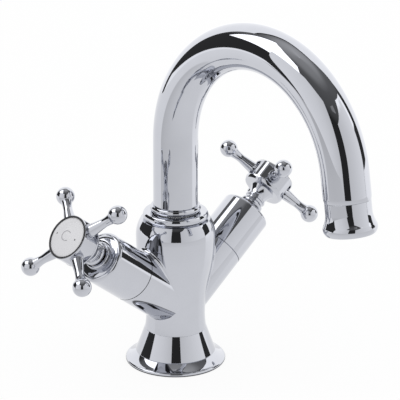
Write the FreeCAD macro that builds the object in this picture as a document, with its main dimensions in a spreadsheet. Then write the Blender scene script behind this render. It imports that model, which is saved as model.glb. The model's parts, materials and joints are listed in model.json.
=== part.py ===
import FreeCAD, Part
import math
import os

import Sketcher

# Two-handle basin mixer with a swan-neck spout.
# Millimetres. Z is up, the deck is z = 0 and the origin is the centre of the base's underside.
# The spout points to -Y at rest. The cold valve leans out to -X and the hot valve to +X.
# A valve's own pieces are drawn along its axis, measured from where that axis crosses the body's.

SIZES = [
    # spout
    ("tube_radius", 12.0, "outside of the spout's tube"),
    ("tube_wall", 1.4, "wall of the spout's tube"),
    ("spout_rise", 36.4, "straight tube between its foot and the arch"),
    ("arch_radius", 60.9, "arch, on the tube's centre line"),
    ("arch_angle", 170.5, "turn of the arch in degrees"),
    ("outlet_drop", 13.3, "straight tube between the arch and the outlet ring"),
    ("outlet_length", 16.6, "outlet ring below its seam"),
    ("outlet_flare", 1.6, "outlet ring's lip beyond the tube"),
    ("flare_angle", 28.0, "slope of the outlet ring above its lip in degrees"),
    ("lip_curve", 4.2, "round of the outlet ring's lip"),
    ("lip_angle", 45.0, "slope of the lip at its lower end in degrees"),
    ("outlet_spigot", 6.0, "outlet ring inside the tube"),
    ("outlet_bore", 11.0, "seat of the aerator in the outlet ring"),
    ("aerator_depth", 9.6, "seat of the aerator, from the rim"),
    ("aerator_set_back", 0.8, "aerator's face above the rim"),
    ("aerator_wall", 1.3, "wall of the aerator's housing"),
    ("aerator_lip", 0.8, "ledge under the mesh"),
    ("aerator_washer", 1.2, "thickness of the aerator's washer"),
    ("mesh_thickness", 0.7, "aerator's mesh"),
    ("mesh_hole", 0.75, "radius of a hole in the mesh"),
    ("mesh_pitch", 2.5, "distance between the mesh's rings of holes"),
    ("former_thickness", 2.6, "aerator's flow former"),
    ("former_hole", 1.1, "radius of a hole in the flow former"),
    ("former_pitch", 6.0, "circle of the flow former's holes"),
    # spout's foot
    ("bead_radius", 13.6, "round bead at the tube's foot"),
    ("bead_neck", 13.0, "bead where it meets its neighbours"),
    ("bead_height", 3.05, "height of that bead"),
    ("glide_thickness", 0.5, "washer that the spout turns on"),
    ("glide_set_back", 1.2, "washer's edge behind the bead's"),
    ("stub_radius", 8.95, "spout's stub in the body"),
    ("stub_length", 20.5, "depth of the stub in the body"),
    ("stub_room", 1.0, "room under the stub's end"),
    ("stub_bore", 6.8, "waterway through the stub"),
    ("stub_mouth", 1.5, "chamfer at the stub's mouth"),
    ("stub_spigot", 8.0, "stub inside the tube"),
    ("stub_ring_depth", 1.7, "depth of a ring groove in the stub"),
    ("stub_ring_pitch", 5.5, "distance between the stub's two rings"),
    ("stub_ring_height", 4.6, "lower ring above the stub's end"),
    ("stop_depth", 1.3, "depth of the slot that limits the swivel"),
    ("stop_height", 2.6, "height of that slot"),
    ("spout_swing", 60.0, "swivel to each side in degrees"),
    # base
    ("base_radius", 27.2, "base ring at its rim"),
    ("base_height", 6.1, "base ring from the deck to the foot"),
    ("rim_height", 3.9, "height of the ring's round rim"),
    ("rim_bulge", 1.2, "how far the rim rounds out"),
    ("cove_start", 1.0, "flat between the rim and the cove"),
    ("gasket_radius", 23.5, "outside of the base gasket"),
    ("gasket_thickness", 1.6, "base gasket"),
    # body
    ("spigot_radius", 18.0, "body's spigot inside the base ring"),
    ("foot_radius", 20.8, "foot of the body"),
    ("waist_radius", 16.0, "narrowest part of the body"),
    ("waist_height", 27.4, "height of the waist"),
    ("shoulder_radius", 21.4, "widest part of the body"),
    ("shoulder_height", 72.5, "height of the shoulder"),
    ("brow_radius", 18.7, "top of the shoulder"),
    ("neck_radius", 16.8, "collar where it stands on the shoulder"),
    ("neck_height", 81.7, "height of the collar's lower edge"),
    ("collar_radius", 17.6, "collar at the top of the body"),
    ("collar_height", 4.1, "height of the collar"),
    ("chamber_radius", 8.0, "mixing chamber"),
    # inlets
    ("foot_lift", 1.0, "underside of the body above the deck"),
    ("stud_radius", 3.4, "tapping for an M8 stud"),
    ("stud_depth", 12.0, "depth of the stud's hole"),
    ("inlet_radius", 4.5, "tapping for an M10 x 1 hose end"),
    ("inlet_depth", 10.0, "depth of that tapping"),
    ("inlet_side", 10.0, "inlets to each side of the axis"),
    ("waterway_radius", 3.0, "waterways in the casting"),
    # valve branches
    ("branch_height", 32.9, "height at which the valve axes cross"),
    ("branch_angle", 53.2, "valve axes from the vertical in degrees"),
    ("branch_radius", 13.8, "branch and valve shroud"),
    ("branch_neck", 2.6, "branch standing clear of the shoulder"),
    ("branch_blend", 2.0, "blend between a branch and the body"),
    ("socket_radius", 10.25, "thread that takes the valve"),
    ("socket_depth", 18.5, "valve's seat below the branch's face"),
    # valve
    ("seal_thickness", 1.8, "valve's seat seal"),
    ("seat_play", 0.8, "housing's end above the seat"),
    ("disc_radius", 7.5, "ceramic discs"),
    ("disc_thickness", 2.6, "one ceramic disc"),
    ("disc_film", 0.02, "film between the two discs"),
    ("port_inner", 2.2, "inner edge of a disc's port"),
    ("port_outer", 6.2, "outer edge of a disc's port"),
    ("port_angle", 80.0, "width of a disc's port in degrees"),
    ("barrel_wall", 1.0, "housing's wall around the discs"),
    ("carrier_thickness", 2.6, "drive bar at the spindle's end"),
    ("carrier_width", 6.0, "width of that bar"),
    ("lug_depth", 1.3, "drive lugs in the turning disc"),
    ("lug_angle", 30.0, "width of a drive lug in degrees"),
    ("window_width", 10.0, "outlet windows in the housing"),
    ("travel", 90.0, "turn of a handle in degrees"),
    ("stop_angle", 130.0, "stop segment on the spindle in degrees"),
    ("stop_play", 0.5, "play at each stop in degrees"),
    ("segment_height", 2.0, "height of the stop segment"),
    ("segment_radius", 6.4, "outside of the stop segment"),
    ("flange_radius", 11.8, "housing's flange over the branch"),
    ("flange_height", 4.4, "housing's flange"),
    ("flange_rim", 1.0, "round rim under the flange's six flats"),
    ("spanner_flat", 10.5, "half the width across the flange's six flats"),
    ("flange_washer", 0.8, "washer under that flange"),
    ("bonnet_radius", 8.5, "thread that takes the shroud"),
    ("bonnet_height", 15.0, "housing above its flange"),
    ("gland_radius", 6.0, "gland around the spindle"),
    ("gland_sink", 1.5, "gland's end below the shroud's collar"),
    ("spindle_radius", 4.0, "spindle"),
    ("spindle_ring_height", 2.0, "spindle's lower ring above the flange"),
    ("spindle_ring_depth", 1.1, "depth of a ring groove in the spindle"),
    ("spindle_ring_pitch", 4.0, "distance between the spindle's two rings"),
    ("clip_radius", 5.5, "clip that holds the spindle in its housing"),
    ("clip_thickness", 0.8, "that clip"),
    ("clip_depth", 0.7, "depth of the clip's groove"),
    # shroud
    ("shroud_length", 27.8, "shroud from its seam to its front"),
    ("shroud_wall", 1.6, "wall of the shroud"),
    ("shroud_thread", 8.0, "shroud's thread on the bonnet"),
    ("seam_chamfer", 0.15, "fine chamfer at the shroud's seam"),
    ("shroud_edge", 2.0, "round front edge"),
    ("shroud_dome", 0.8, "front face rising towards the gland"),
    ("gland_collar_radius", 7.6, "raised collar on the front"),
    ("gland_collar_height", 2.2, "that collar above the front"),
    ("gland_collar_edge", 0.8, "round edge of that collar"),
    # handle
    ("handle_play", 0.6, "handle's skirt above the collar"),
    ("skirt_length", 11.3, "handle between its skirt's end and the hub"),
    ("skirt_radius", 6.5, "round bead at the skirt's end"),
    ("skirt_bead", 3.0, "height of that bead"),
    ("skirt_gap", 1.4, "neck between the bead and the thin disc"),
    ("skirt_neck", 5.2, "narrowest part of the skirt"),
    ("disc_rim_radius", 6.0, "thin disc on the skirt"),
    ("disc_rim_height", 1.1, "that disc"),
    ("bell_radius", 7.4, "skirt where it meets the hub"),
    ("hub_radius", 12.0, "hub over its corners"),
    ("hub_flat", 9.3, "hub's four flats from its axis"),
    ("hub_rim", 2.4, "round rim behind the flats"),
    ("hub_rear", 7.1, "hub behind the arms' axes"),
    ("arm_clear", 0.2, "flat in front of an arm's collar"),
    ("hub_edge", 0.7, "chamfer on the hub's edges"),
    ("bezel_height", 1.5, "full round rim at the hub's front"),
    ("index_radius", 11.0, "recess for the index disc"),
    ("bezel_web", 0.7, "hub between its flats and that recess"),
    ("index_crown", 0.5, "rise of the index disc's face"),
    ("index_sink", 0.4, "index disc's edge below the hub's face"),
    ("spindle_grip", 3.8, "spindle inside the hub"),
    ("hub_web", 1.3, "hub between the spindle and the screw's head"),
    ("screw_radius", 2.4, "handle screw"),
    ("screw_head_radius", 4.2, "handle screw's head"),
    ("screw_head_height", 3.0, "that head"),
    ("screw_length", 9.5, "handle screw under its head"),
    ("screw_slot", 1.2, "slot in that head"),
    ("arm_reach", 28.9, "centre of an arm's ball from the hub's axis"),
    ("ball_radius", 4.9, "ball at the arm's end"),
    ("arm_stud", 2.5, "arm's threaded root"),
    ("arm_stud_length", 2.8, "that root inside the hub"),
    ("arm_collar", 3.7, "arm's collar on the hub's flat"),
    ("arm_collar_height", 1.4, "that collar"),
    ("arm_root", 3.4, "arm next to its collar"),
    ("arm_neck", 2.45, "thinnest part of the arm"),
    ("arm_taper", 7.6, "length of the arm's taper"),
    ("arm_crease", 3.0, "arm where it meets its ball"),
    ("flare_curve", 16.0, "hollow flare behind the ball"),
    ("cold_clocking", 45.5, "cold handle's arms about its axis in degrees"),
    ("hot_clocking", 49.3, "hot handle's arms about its axis in degrees"),
    # spout's stop screw
    ("grub_radius", 1.5, "stop screw behind the collar"),
    ("grub_point", 1.0, "plain point of that screw"),
    ("grub_sink", 0.8, "screw's end below the collar's surface"),
    # fits
    ("fit", 0.05, "radial play of what turns or screws into a bore"),
    ("ring_play", 0.03, "play of a rubber ring in its bore"),
    ("free_gap", 0.3, "gap around what moves freely"),
    ("overcut", 1.0, "how far a cut runs past a face"),
]


class Size:
    """A number together with the expression that ties it to the sheet."""

    def __init__(self, value, text):
        self.value = float(value)
        self.text = text

    def __add__(self, other):
        other = size_of(other)
        return Size(self.value + other.value, f"({self.text} + {other.text})")

    def __sub__(self, other):
        other = size_of(other)
        return Size(self.value - other.value, f"({self.text} - {other.text})")

    def __mul__(self, other):
        other = size_of(other)
        return Size(self.value * other.value, f"({self.text} * {other.text})")

    def __truediv__(self, other):
        other = size_of(other)
        return Size(self.value / other.value, f"({self.text} / {other.text})")

    def __radd__(self, other):
        return size_of(other) + self

    def __rsub__(self, other):
        return size_of(other) - self

    def __rmul__(self, other):
        return size_of(other) * self

    def __neg__(self):
        return size_of(0) - self


def size_of(thing):
    """A plain number as a Size; a Size stays as it is."""
    return thing if isinstance(thing, Size) else Size(thing, f"({float(thing)})")


def root(size):
    return Size(math.sqrt(size.value), f"sqrt({size.text})")


def sine(angle):
    return Size(math.sin(math.radians(angle.value)), f"sin({angle.text})")


def cosine(angle):
    return Size(math.cos(math.radians(angle.value)), f"cos({angle.text})")


def square(size):
    return size * size


def bulge(chord, rise):
    """Radius of an arc over a chord with the given rise."""
    return (chord * chord / 4 + rise * rise) / (2 * rise)


def quarter(across, along):
    """Radius of an arc that starts along one direction and strays across it."""
    return (across * across + along * along) / (2 * across)


class Sizes:
    """The driving dimensions, each a cell of the sheet and an attribute of the same name."""

    def __init__(self, doc, table):
        sheet = doc.addObject("Spreadsheet::Sheet", "Sizes")
        for row, (alias, value, note) in enumerate(table, start=1):
            sheet.set(f"A{row}", note)
            sheet.set(f"B{row}", str(value))
            sheet.setAlias(f"B{row}", alias)
        doc.recompute()
        for alias, _, _ in table:
            setattr(self, alias, Size(sheet.get(alias), f"Sizes.{alias}"))


doc = FreeCAD.newDocument("basin_mixer")
d = Sizes(doc, SIZES)
parts = []

# Heights on the body's axis
collar_top = d.neck_height + d.collar_height
bead_foot = collar_top + d.glide_thickness
tube_foot = bead_foot + d.bead_height
arch_foot = tube_foot + d.spout_rise
grub_height = d.neck_height + d.collar_height / 2

# Stations along a valve's axis
lean_out = sine(d.branch_angle)
lean_up = cosine(d.branch_angle)
branch_face = (d.shoulder_radius + d.branch_radius * lean_up) / lean_out + d.branch_neck
seat = branch_face - d.socket_depth
seal_top = seat + d.seal_thickness
fixed_top = seal_top + d.disc_thickness
turning_foot = fixed_top + d.disc_film
turning_top = turning_foot + d.disc_thickness
carrier_top = turning_top + d.carrier_thickness
window_top = carrier_top + d.free_gap
thread_foot = window_top + 2 * d.free_gap
segment_foot = carrier_top + 4 * d.free_gap
segment_top = segment_foot + d.segment_height
stop_roof = segment_top + d.free_gap
flange_foot = branch_face + d.flange_washer
flange_top = flange_foot + d.flange_height
bonnet_top = flange_top + d.bonnet_height
shroud_front = branch_face + d.shroud_length
gland_collar_top = shroud_front + d.gland_collar_height
gland_top = gland_collar_top - d.gland_sink
clip_foot = gland_top + d.free_gap
skirt_foot = gland_collar_top + d.handle_play
hub_back = skirt_foot + d.skirt_length
arm_line = hub_back + d.hub_rear
bezel = arm_line + d.arm_collar + d.arm_clear
hub_face = bezel + d.bezel_height
spindle_top = hub_back + d.spindle_grip
web_top = spindle_top + d.hub_web
recess_floor = bezel + d.bezel_web
disc_bore = d.disc_radius + 2 * d.fit
barrel_radius = disc_bore + d.barrel_wall
rod_bore = d.spindle_radius + d.fit


def new_body(label, place=None):
    """An empty body that is one sub-part, laid at a place given as an expression."""
    body = doc.addObject("PartDesign::Body", label)
    body.Label = label
    if place:
        body.setExpression("Placement", place)
    parts.append(body)
    return body


def origin_of(body, role):
    return [f for f in body.Origin.OriginFeatures if f.Role == role][0]


def new_sketch(body, name, plane="XZ_Plane", lift=None, turn=None):
    """A sketch on one of the body's planes, lifted along its normal or turned about the body's axis."""
    sketch = body.newObject("Sketcher::SketchObject", name)
    sketch.AttachmentSupport = [(origin_of(body, plane), "")]
    sketch.MapMode = "FlatFace"
    if lift is not None:
        sketch.setExpression("AttachmentOffset.Base.z", lift.text)
    if turn is not None:
        turning = f"rotation(vector(0; 1; 0); {turn.text})"
        sketch.setExpression("AttachmentOffset", f"placement(vector(0; 0; 0); {turning})")
    return sketch


def bind(sketch, constraint, size):
    index = sketch.addConstraint(constraint)
    sketch.setExpression(f"Constraints[{index}]", size.text)


def pin(sketch, geometry, point, x, y):
    """Hold a point of the sketch at a place that the sheet drives."""
    for kind, place, axis in (("DistanceX", x, -2), ("DistanceY", y, -1)):
        if not isinstance(place, Size) and place == 0:
            sketch.addConstraint(Sketcher.Constraint("PointOnObject", geometry, point, axis))
        else:
            place = size_of(place)
            bind(sketch, Sketcher.Constraint(kind, geometry, point, place.value), place)


def vector(x, y):
    return FreeCAD.Vector(size_of(x).value, size_of(y).value, 0)


def arc_between(a, b, radius, left):
    """The short arc from a to b; left says on which side of the way its centre lies."""
    way = b - a
    side = FreeCAD.Vector(-way.y, way.x, 0).normalize() * (1 if left else -1)
    centre = (a + b) / 2 + side * math.sqrt(max(radius**2 - way.Length**2 / 4, 0))
    start, end = (a, b) if left else (b, a)
    angles = [math.atan2(p.y - centre.y, p.x - centre.x) for p in (start, end)]
    circle = Part.Circle(centre, FreeCAD.Vector(0, 0, 1), radius)
    return Part.ArcOfCircle(circle, angles[0], angles[1])


def draw(sketch, start, steps, closed=True):
    """Draw lines and arcs from point to point and bind every point and radius to the sheet.

    A step is (x, y) for a line, or (x, y, radius, "left" or "right") for an arc.
    """
    steps = list(steps) + ([start] if closed else [])
    ends = []
    here = start
    for step in steps:
        a, b = vector(*here[:2]), vector(*step[:2])
        if len(step) == 2:
            index = sketch.addGeometry(Part.LineSegment(a, b), False)
            ends.append((index, 1, 2))
        else:
            left = step[3] == "left"
            index = sketch.addGeometry(arc_between(a, b, step[2].value, left), False)
            ends.append((index, 1, 2) if left else (index, 2, 1))
            bind(sketch, Sketcher.Constraint("Radius", index, step[2].value), step[2])
        here = step
    for (first, _, leave), (second, enter, _) in zip(ends, ends[1:]):
        sketch.addConstraint(Sketcher.Constraint("Coincident", first, leave, second, enter))
    if closed:
        last, first = ends[-1], ends[0]
        sketch.addConstraint(Sketcher.Constraint("Coincident", last[0], last[2], first[0], first[1]))
        steps.pop()
    pin(sketch, ends[0][0], ends[0][1], *start[:2])
    for (index, _, leave), step in zip(ends, steps):
        pin(sketch, index, leave, *step[:2])


def draw_axis(sketch, a, b):
    """A construction line that a feature turns about."""
    index = sketch.addGeometry(Part.LineSegment(vector(*a), vector(*b)), True)
    pin(sketch, index, 1, *a)
    pin(sketch, index, 2, *b)


def draw_circle(sketch, x, y, radius):
    index = sketch.addGeometry(Part.Circle(vector(x, y), FreeCAD.Vector(0, 0, 1), radius.value), False)
    bind(sketch, Sketcher.Constraint("Radius", index, radius.value), radius)
    pin(sketch, index, 3, x, y)


def turn_about(body, sketch, kind, axis="V_Axis", angle=None):
    """Turn a sketch about an axis: a Revolution adds and a Groove cuts. An angle is centred on the sketch."""
    feature = body.newObject(f"PartDesign::{kind}", f"{sketch.Name}_{kind}")
    feature.Profile = (sketch, [""])
    feature.ReferenceAxis = (sketch, [axis])
    feature.Angle = 360
    if angle is not None:
        feature.Midplane = True
        feature.setExpression("Angle", angle.text)
    return feature


def turned(label, place, start, *steps, plane="XZ_Plane"):
    """A body turned from one outline of (radius, height) points on a plane through its axis."""
    body = new_body(label, place)
    sketch = new_sketch(body, f"{label}_outline", plane)
    draw(sketch, start, steps)
    turn_about(body, sketch, "Revolution")
    return body


def box_outline(x0, y0, x1, y1):
    return (x0, y0), [(x1, y0), (x1, y1), (x0, y1)]


def box_ring(inner, outer, foot, top):
    """Outline of a plain ring."""
    start, steps = box_outline(inner, foot, outer, top)
    return (start, *steps)


def disc_outline(radius, foot, top):
    """Outline of a plain disc."""
    return box_ring(0, radius, foot, top)


def sector(body, name, kind, corners, angle, plane="XZ_Plane", turn=None):
    """Add or cut a rectangle that is turned through part of a circle about the body's axis."""
    sketch = new_sketch(body, name, plane, turn=turn)
    draw(sketch, *box_outline(*corners))
    return turn_about(body, sketch, kind, angle=angle)


def drill(body, name, plane, axis_start, axis_end, outline):
    """Cut an outline that is turned about a line of its own."""
    sketch = new_sketch(body, name, plane)
    draw_axis(sketch, axis_start, axis_end)
    draw(sketch, *outline)
    return turn_about(body, sketch, "Groove", axis="Axis0")


def extrude(body, sketch, kind, length, reverse=False, both_ways=False):
    """A Pad or Pocket of a sketch; a Pocket goes against the sketch's normal unless it is reversed."""
    feature = body.newObject(f"PartDesign::{kind}", f"{sketch.Name}_{kind}")
    feature.Profile = (sketch, [""])
    feature.setExpression("Length", length.text)
    feature.Reversed = reverse
    feature.SideType = "Symmetric" if both_ways else "One side"
    return feature


def around(body, features, count):
    """Repeat features evenly about the body's axis."""
    pattern = body.newObject("PartDesign::PolarPattern", f"{features[0].Name}_around")
    pattern.Originals = features
    pattern.Axis = (origin_of(body, "Z_Axis"), [""])
    pattern.Angle = 360
    pattern.Occurrences = count
    body.Tip = pattern
    return pattern


def mirrored(body, features):
    """Repeat features on the other side of the body's middle plane."""
    mirror = body.newObject("PartDesign::Mirrored", f"{features[0].Name}_mirrored")
    mirror.Originals = features
    mirror.MirrorPlane = (origin_of(body, "YZ_Plane"), [""])
    body.Tip = mirror
    return mirror


def flat(body, name, distance, reach, foot, top):
    """Mill one flat at a distance from the axis, between two heights."""
    sketch = new_sketch(body, name, "XY_Plane", lift=top)
    draw(sketch, *box_outline(distance, -reach, reach, reach))
    return extrude(body, sketch, "Pocket", top - foot)


def holes(body, name, lift, radius, pitch, count, depth):
    """A circle of holes cut down from a height."""
    sketch = new_sketch(body, name, "XY_Plane", lift=lift)
    draw_circle(sketch, pitch, 0, radius)
    return around(body, [extrude(body, sketch, "Pocket", depth)], count)


def ring_pair(label, place, major, minor, heights):
    """Two equal rubber rings that count as one sub-part."""
    rings = []
    for number, height in enumerate(heights, start=1):
        ring = doc.addObject("Part::Torus", f"{label}_{number}")
        ring.setExpression("Radius1", major.text)
        ring.setExpression("Radius2", minor.text)
        ring.setExpression("Placement.Base.z", height.text)
        rings.append(ring)
    pair = doc.addObject("Part::Compound", label)
    pair.Label = label
    pair.Links = rings
    if place:
        pair.setExpression("Placement", place)
    parts.append(pair)
    return pair


def arch_end():
    """Where the arch ends, in the spout's middle plane."""
    return (
        -d.arch_radius * (1 - cosine(d.arch_angle)),
        arch_foot + d.arch_radius * sine(d.arch_angle),
    )


def on_valve(along, across=0):
    """A point of the XZ plane on the hot valve's axis, or below it by a distance across."""
    return (
        lean_out * along + lean_up * across,
        d.branch_height + lean_up * along - lean_out * across,
    )


def along_valve(start, end, radius):
    """Half of a cylinder's section on the hot valve's axis."""
    return on_valve(start), [on_valve(end), on_valve(end, radius), on_valve(start, radius)]


def valve_place(sign, turn=None, lift=None):
    """A valve's axis as an expression, turned about that axis and moved along it."""
    lean = f"rotation(vector(0; 1; 0); {sign} * {d.branch_angle.text})"
    place = f"placement(vector(0; 0; {d.branch_height.text}); {lean})"
    if turn is not None:
        along = lift.text if lift is not None else "0"
        place += f" * placement(vector(0; 0; {along}); rotation(vector(0; 0; 1); {turn.text}))"
    return place


# Base: a turned ring on its gasket
def base_ring():
    rim = d.base_radius - d.rim_bulge
    cove = rim - d.cove_start
    bore = d.spigot_radius + d.fit
    turned(
        "base_ring",
        None,
        (d.gasket_radius, 0),
        (rim, 0),
        (rim, d.rim_height, bulge(d.rim_height, d.rim_bulge), "left"),
        (cove, d.rim_height),
        (d.foot_radius, d.base_height, quarter(d.base_height - d.rim_height, cove - d.foot_radius), "right"),
        (bore, d.base_height),
        (bore, d.gasket_thickness),
        (d.gasket_radius, d.gasket_thickness),
    )
    outer = d.gasket_radius - d.fit
    turned("base_gasket", None, *box_ring(d.spigot_radius + d.free_gap, outer, 0, d.gasket_thickness))


# Body casting: a turned vase with two blended branches and its waterways
def body_casting():
    flank = d.shoulder_radius - d.waist_radius
    swell = (flank * flank + square(d.shoulder_height - d.waist_height)) / (4 * flank)
    middle = ((d.waist_radius + d.shoulder_radius) / 2, (d.waist_height + d.shoulder_height) / 2)
    body = turned(
        "body_casting",
        None,
        (0, d.foot_lift),
        (d.spigot_radius, d.foot_lift),
        (d.spigot_radius, d.base_height),
        (d.foot_radius, d.base_height),
        (
            d.waist_radius,
            d.waist_height,
            quarter(d.foot_radius - d.waist_radius, d.waist_height - d.base_height),
            "right",
        ),
        (*middle, swell, "right"),
        (d.shoulder_radius, d.shoulder_height, swell, "left"),
        (
            d.brow_radius,
            d.neck_height,
            quarter(d.shoulder_radius - d.brow_radius, d.neck_height - d.shoulder_height),
            "left",
        ),
        (d.neck_radius, d.neck_height),
        (d.neck_radius, collar_top, bulge(d.collar_height, d.collar_radius - d.neck_radius), "left"),
        (0, collar_top),
        plane="YZ_Plane",
    )
    sketch = new_sketch(body, "branch_outline")
    draw_axis(sketch, on_valve(size_of(0)), on_valve(branch_face))
    draw(sketch, *along_valve(d.waterway_radius, branch_face, d.branch_radius))
    branch = turn_about(body, sketch, "Revolution", axis="Axis0")
    pair = mirrored(body, [branch])
    doc.recompute()
    blend = body.newObject("PartDesign::Fillet", "branch_blend")
    seams = [
        f"Edge{number}"
        for number, edge in enumerate(pair.Shape.Edges, start=1)
        if edge.Curve.TypeId == "Part::GeomBSplineCurve"
    ]
    blend.Base = (pair, seams)
    blend.setExpression("Radius", d.branch_blend.text)
    body.Tip = blend
    doc.recompute()

    rise = on_valve(d.inlet_side / lean_out)[1] - d.foot_lift
    for name, across, radius, depth in (
        ("stud_hole", size_of(0), d.stud_radius, d.stud_depth),
        ("cold_tapping", -d.inlet_side, d.inlet_radius, d.inlet_depth),
        ("cold_riser", -d.inlet_side, d.waterway_radius, rise),
        ("hot_tapping", d.inlet_side, d.inlet_radius, d.inlet_depth),
        ("hot_riser", d.inlet_side, d.waterway_radius, rise),
    ):
        hole = new_sketch(body, name, "XY_Plane", lift=d.foot_lift)
        draw_circle(hole, across, 0, radius)
        extrude(body, hole, "Pocket", depth, reverse=True)

    ends = on_valve(size_of(0)), on_valve(branch_face)
    start = d.inlet_side / lean_out - d.waterway_radius
    feed = drill(body, "feed", "XZ_Plane", *ends, along_valve(start, seat + d.overcut, d.waterway_radius))
    past = branch_face + d.overcut
    socket = drill(body, "socket", "XZ_Plane", *ends, along_valve(seat, past, d.socket_radius))
    mixing = (turning_top + window_top) / 2
    mouth_x, mouth_z = on_valve(mixing, -(d.socket_radius - d.overcut))
    passage = drill(
        body,
        "passage",
        "XZ_Plane",
        (0, mouth_z),
        (mouth_x, mouth_z),
        box_outline(0, mouth_z, mouth_x, mouth_z + d.waterway_radius),
    )
    mirrored(body, [feed, socket, passage])
    socket_foot = collar_top - d.stub_length - d.stub_room
    chamber_foot = mouth_z - d.chamber_radius / 2
    for name, corners in (
        ("stub_socket", (0, socket_foot, d.stub_radius + d.fit, collar_top + d.overcut)),
        ("chamber", (0, chamber_foot, d.chamber_radius, socket_foot + d.stub_room / 2)),
    ):
        bore = new_sketch(body, name)
        draw(bore, *box_outline(*corners))
        turn_about(body, bore, "Groove")
    hole = (d.stub_radius - d.overcut, grub_height, d.collar_radius + d.overcut)
    drill(
        body,
        "grub_hole",
        "YZ_Plane",
        (0, grub_height),
        (d.collar_radius, grub_height),
        box_outline(*hole, grub_height + d.grub_radius + d.fit),
    )


# Stop screw: its plain point runs in the stub's slot
def stop_screw():
    heel = d.collar_radius - d.grub_sink
    tip = d.stub_radius - d.stop_depth + d.free_gap
    neck = d.stub_radius + 2 * d.free_gap
    turned(
        "spout_stop_screw",
        f"placement(vector(0; 0; {grub_height.text}); rotation(vector(1; 0; 0); -90))",
        (0, tip),
        (d.grub_point, tip),
        (d.grub_point, neck),
        (d.grub_radius, neck),
        (d.grub_radius, heel),
        (d.grub_radius / 2, heel),
        (d.grub_radius / 2, heel - d.grub_radius),
        (0, heel - d.grub_radius),
    )


# Spout: a bent tube on a turned stub
def spout():
    glide_bore = d.stub_radius + d.free_gap
    glide_edge = d.bead_neck - d.glide_set_back
    turned("spout_glide_washer", None, *box_ring(glide_bore, glide_edge, collar_top, bead_foot))
    groove = d.stub_radius - d.stub_ring_depth
    stub_end = collar_top - d.stub_length
    bore = d.tube_radius - d.tube_wall
    ring = (d.stub_ring_depth - d.ring_play) / 2
    lows = [stub_end + d.stub_ring_height, stub_end + d.stub_ring_height + d.stub_ring_pitch]
    outline = [(d.stub_radius, stub_end)]
    for low in lows:
        foot, top = low - ring - d.fit, low + ring + d.fit
        outline += [(d.stub_radius, foot), (groove, foot), (groove, top), (d.stub_radius, top)]
    outline += [
        (d.stub_radius, bead_foot),
        (d.bead_neck, bead_foot),
        (d.bead_neck, tube_foot, bulge(d.bead_height, d.bead_radius - d.bead_neck), "left"),
        (bore - d.fit, tube_foot),
        (bore - d.fit, tube_foot + d.stub_spigot),
        (d.stub_bore + d.stub_mouth, tube_foot + d.stub_spigot),
        (d.stub_bore, tube_foot + d.stub_spigot - 2 * d.stub_mouth),
    ]
    stub = turned("spout_stub", None, (d.stub_bore, stub_end), *outline)
    point = Size(
        math.degrees(math.asin(d.grub_point.value / (d.stub_radius.value - d.stop_depth.value))),
        f"(asin({d.grub_point.text} / ({d.stub_radius.text} - {d.stop_depth.text})) / 1 deg)",
    )
    slot = (
        d.stub_radius - d.stop_depth,
        grub_height - d.stop_height / 2,
        d.stub_radius + d.overcut,
        grub_height + d.stop_height / 2,
    )
    sector(stub, "stop_slot", "Groove", slot, 2 * (d.spout_swing + point + d.stop_play), plane="YZ_Plane")
    ring_pair("spout_o_rings", None, groove + ring, ring, lows)

    tube = new_body("spout_tube")
    section = new_sketch(tube, "tube_section", "XY_Plane", lift=tube_foot)
    draw_circle(section, 0, 0, d.tube_radius)
    draw_circle(section, 0, 0, bore)
    spine = new_sketch(tube, "tube_spine", "YZ_Plane")
    fall = arch_end()
    half = (
        -d.arch_radius * (1 - cosine(d.arch_angle / 2)),
        arch_foot + d.arch_radius * sine(d.arch_angle / 2),
    )
    draw(
        spine,
        (0, tube_foot),
        [
            (0, arch_foot),
            (*half, d.arch_radius, "left"),
            (*fall, d.arch_radius, "left"),
            (fall[0] - sine(d.arch_angle) * d.outlet_drop, fall[1] + cosine(d.arch_angle) * d.outlet_drop),
        ],
        closed=False,
    )
    pipe = tube.newObject("PartDesign::AdditivePipe", "tube_pipe")
    pipe.Profile = (section, [""])
    pipe.Spine = (spine, [f"Edge{number}" for number in range(1, 5)])


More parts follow.
